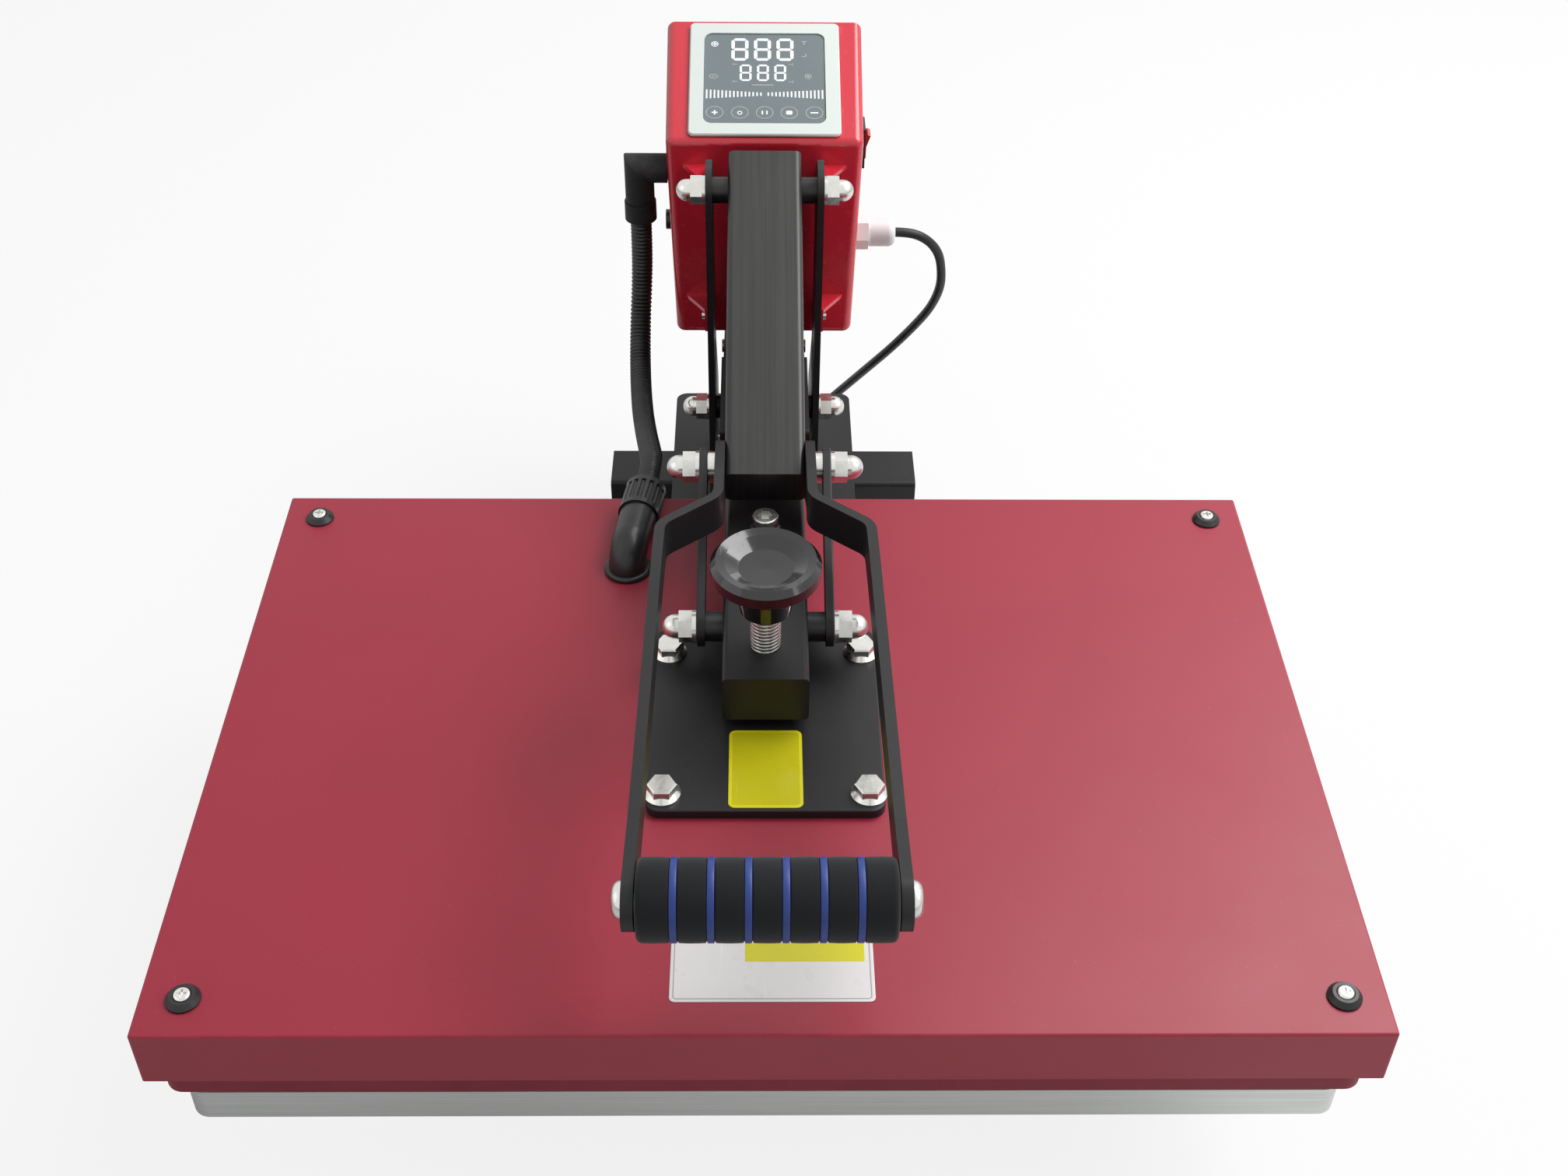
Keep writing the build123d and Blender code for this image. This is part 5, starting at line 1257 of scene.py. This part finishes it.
def make_marks(colours):
    """The digits, the level bar and the outlined touch fields of the display."""
    lit = []
    for middles, y, width, height, stroke in DIGIT_ROWS:
        for x in middles:
            lit += digit((x, y), width, height, stroke)
    share = np.linspace(0, 1, 15)
    for x, high in zip(2.6 + share * 38.6, 3.2 + 5.4 * share):
        lit += [block_tile(side * x, LEVEL_Y, 1.15, high) for side in (1, -1)]
    lit += [block_tile(*place) for place in LIT_TILES]
    lit += [round_hoop(*place) for place in LIT_HOOPS]
    bright = build("panel_digits", lit, mark_light(colours), smooth=False)
    dim = [round_hoop(x, KEY_Y, 12.4, 11.6, 0.55) for x in KEY_PLACES]
    for x, y, side in BRACKETS:
        dim += [block_tile(x, y, 3.2, 0.6), block_tile(x - side * 1.5, y, 0.6, 2.2)]
    dim += [block_tile(*place) for place in DIM_TILES]
    dim += [round_hoop(*place) for place in DIM_HOOPS]
    pale = build("panel_outlines", dim, dim_mark(colours), smooth=False)
    for piece in (bright, pale):
        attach(piece, "frame")


# Stage

def make_floor(colours):
    """A wide flat floor; the camera sees it paler than it lights the press."""
    across = np.linspace(-FLOOR_REACH, FLOOR_REACH, 24)
    x, y = np.meshgrid(across, across)
    grid = np.stack([x, y, np.full_like(x, FLOOR_LEVEL)], axis=-1)
    made = Finish("pale_floor", colours.floor, 0.7, specular_ior_level=0.2)
    made.paint(made.noise(3.0, 3.0).above(0.5, 0.6) * 0.15, shade(colours.floor, 0.97))
    made.relief(made.noise(300.0, 2.0), 0.0001, 0.1)
    paths = made.node("ShaderNodeLightPath")
    seen = Field(made, paths.outputs["Is Camera Ray"])
    glow = made.node("ShaderNodeEmission", {"Color": (1.0, 1.0, 1.0), "Strength": 1.0})
    both = made.node("ShaderNodeMixShader", {0: seen * FLOOR_SEEN, 1: Field(made, made.surface.outputs[0]),
                                             2: Field(made, glow.outputs[0])})
    output = made.tree.nodes["Material Output"]
    made.feed(output.inputs["Surface"], Field(made, both.outputs[0]))
    floor = build("floor", [(grid, False, False)], made.material)


def make_world():
    """Even studio light, with a white backdrop for the camera and in reflections."""
    world = bpy.data.worlds.new("studio")
    bpy.context.scene.world = world
    world.use_nodes = True
    tree = world.node_tree
    lit = tree.nodes["Background"]
    lit.inputs["Color"].default_value = (1.0, 1.0, 1.0, 1.0)
    lit.inputs["Strength"].default_value = WORLD_LIGHT
    white = tree.nodes.new("ShaderNodeBackground")
    white.inputs["Color"].default_value = (1.0, 1.0, 1.0, 1.0)
    white.inputs["Strength"].default_value = 1.0
    paths = tree.nodes.new("ShaderNodeLightPath")
    mix = tree.nodes.new("ShaderNodeMixShader")
    seen = tree.nodes.new("ShaderNodeMath")
    seen.operation = "MAXIMUM"
    tree.links.new(paths.outputs["Is Camera Ray"], seen.inputs[0])
    tree.links.new(paths.outputs["Is Glossy Ray"], seen.inputs[1])
    tree.links.new(seen.outputs[0], mix.inputs[0])
    tree.links.new(lit.outputs[0], mix.inputs[1])
    tree.links.new(white.outputs[0], mix.inputs[2])
    tree.links.new(mix.outputs[0], tree.nodes["World Output"].inputs["Surface"])


def make_lamp(name, place, target, width, depth, power):
    """A soft rectangular lamp that faces a point."""
    lamp = bpy.data.lights.new(name, "AREA")
    lamp.shape = "RECTANGLE"
    lamp.size = width
    lamp.size_y = depth
    lamp.energy = power
    made = bpy.data.objects.new(name, lamp)
    made.location = place
    made.rotation_euler = (Vector(target) - Vector(place)).to_track_quat("-Z", "Y").to_euler()
    bpy.context.scene.collection.objects.link(made)


def make_camera():
    """The photograph's view: its place, its three directions and its lens."""
    down, yaw, roll = CAMERA_DOWN, CAMERA_YAW, CAMERA_ROLL
    forward = Vector((math.sin(yaw) * math.cos(down), math.cos(yaw) * math.cos(down), -math.sin(down)))
    right = Vector((math.cos(yaw), -math.sin(yaw), 0.0))
    up = right.cross(forward)
    turned_right = right * math.cos(roll) + up * math.sin(roll)
    turned_up = up * math.cos(roll) - right * math.sin(roll)
    camera = bpy.data.cameras.new("photo_view")
    camera.sensor_fit = "HORIZONTAL"
    camera.sensor_width = SENSOR
    camera.lens = CAMERA_FOCAL_PIXELS / PHOTO_WIDTH * SENSOR
    camera.clip_start = 0.05
    camera.clip_end = 40.0
    made = bpy.data.objects.new("photo_view", camera)
    turn = Matrix((turned_right, turned_up, -forward)).transposed()
    made.matrix_world = Matrix.Translation(Vector(CAMERA_PLACE)) @ turn.to_4x4()
    bpy.context.scene.collection.objects.link(made)
    bpy.context.scene.camera = made


# Operators

class PRESS_OT_cord(bpy.types.Operator):
    """Lays the mains cord, its plug and its strap"""
    bl_idname = "press.cord"
    bl_label = "Mains cord"

    def execute(self, context):
        make_cord(context.scene.press_colours, context.scene.press_sizes)
        return {"FINISHED"}


class PRESS_OT_hose(bpy.types.Operator):
    """Runs the corrugated hose from the elbow to the connector"""
    bl_idname = "press.hose"
    bl_label = "Corrugated hose"

    def execute(self, context):
        make_hose(context.scene.press_colours, context.scene.press_sizes)
        return {"FINISHED"}


class PRESS_OT_frame_finishes(bpy.types.Operator):
    """Gives every piece of the frame its finish"""
    bl_idname = "press.frame_finishes"
    bl_label = "Frame finishes"

    def execute(self, context):
        for finish, names in NODE_FINISHES:
            material = finish(context.scene.press_colours)
            for name in names:
                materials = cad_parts[name].data.materials
                materials.clear()
                materials.append(material)
        return {"FINISHED"}


class PRESS_OT_grip(bpy.types.Operator):
    """Makes the foam sleeve and its blue rings"""
    bl_idname = "press.grip"
    bl_label = "Grip"

    def execute(self, context):
        make_grip(context.scene.press_colours, context.scene.press_sizes)
        make_rings(context.scene.press_colours, context.scene.press_sizes)
        return {"FINISHED"}


class PRESS_OT_pads(bpy.types.Operator):
    """Makes the silicone pad and the insulation blanket"""
    bl_idname = "press.pads"
    bl_label = "Pad and blanket"

    def execute(self, context):
        make_pad(context.scene.press_colours)
        make_blanket(context.scene.press_colours)
        return {"FINISHED"}


class PRESS_OT_fittings(bpy.types.Operator):
    """Makes the feet, the lift springs and the pressure screw"""
    bl_idname = "press.fittings"
    bl_label = "Feet, springs and screw"

    def execute(self, context):
        make_feet(context.scene.press_colours)
        make_springs(context.scene.press_colours)
        make_thread(context.scene.press_colours, context.scene.press_sizes)
        return {"FINISHED"}


class PRESS_OT_labels(bpy.types.Operator):
    """Lays the two plain label plates"""
    bl_idname = "press.labels"
    bl_label = "Label plates"

    def execute(self, context):
        make_labels(context.scene.press_colours)
        return {"FINISHED"}


class PRESS_OT_display(bpy.types.Operator):
    """Puts the digits and outlines on the display"""
    bl_idname = "press.display"
    bl_label = "Display marks"

    def execute(self, context):
        make_marks(context.scene.press_colours)
        return {"FINISHED"}


class PRESS_OT_stage(bpy.types.Operator):
    """Sets the floor, the light and the camera"""
    bl_idname = "press.stage"
    bl_label = "Stage"

    def execute(self, context):
        context.scene.view_settings.view_transform = "Standard"
        make_floor(context.scene.press_colours)
        make_world()
        for lamp in LAMPS:
            make_lamp(*lamp)
        make_camera()
        return {"FINISHED"}


class PRESS_PT_panel(bpy.types.Panel):
    """The press's settings and its steps"""
    bl_idname = "PRESS_PT_panel"
    bl_label = "Heat press"
    bl_space_type = "VIEW_3D"
    bl_region_type = "UI"
    bl_category = "Heat press"

    def draw(self, context):
        for group in (context.scene.press_sizes, context.scene.press_colours):
            for name in group.__annotations__:
                self.layout.prop(group, name)
        for step in STEPS:
            self.layout.operator(step.bl_idname)


STEPS = (PRESS_OT_stage, PRESS_OT_cord, PRESS_OT_hose, PRESS_OT_frame_finishes, PRESS_OT_grip, PRESS_OT_pads,
         PRESS_OT_fittings, PRESS_OT_labels, PRESS_OT_display)
CLASSES = (PressColours, PressSizes) + STEPS + (PRESS_PT_panel,)


def register():
    """Adds the settings, the steps and the panel."""
    for one in CLASSES:
        bpy.utils.register_class(one)
    bpy.types.Scene.press_colours = PointerProperty(type=PressColours)
    bpy.types.Scene.press_sizes = PointerProperty(type=PressSizes)


def unregister():
    """Takes them away again, last first."""
    del bpy.types.Scene.press_sizes
    del bpy.types.Scene.press_colours
    for one in reversed(CLASSES):
        bpy.utils.unregister_class(one)


def main():
    """Runs every step in order."""
    register()
    for step in STEPS:
        group, name = step.bl_idname.split(".")
        getattr(getattr(bpy.ops, group), name)()


if __name__ == "__main__":
    main()
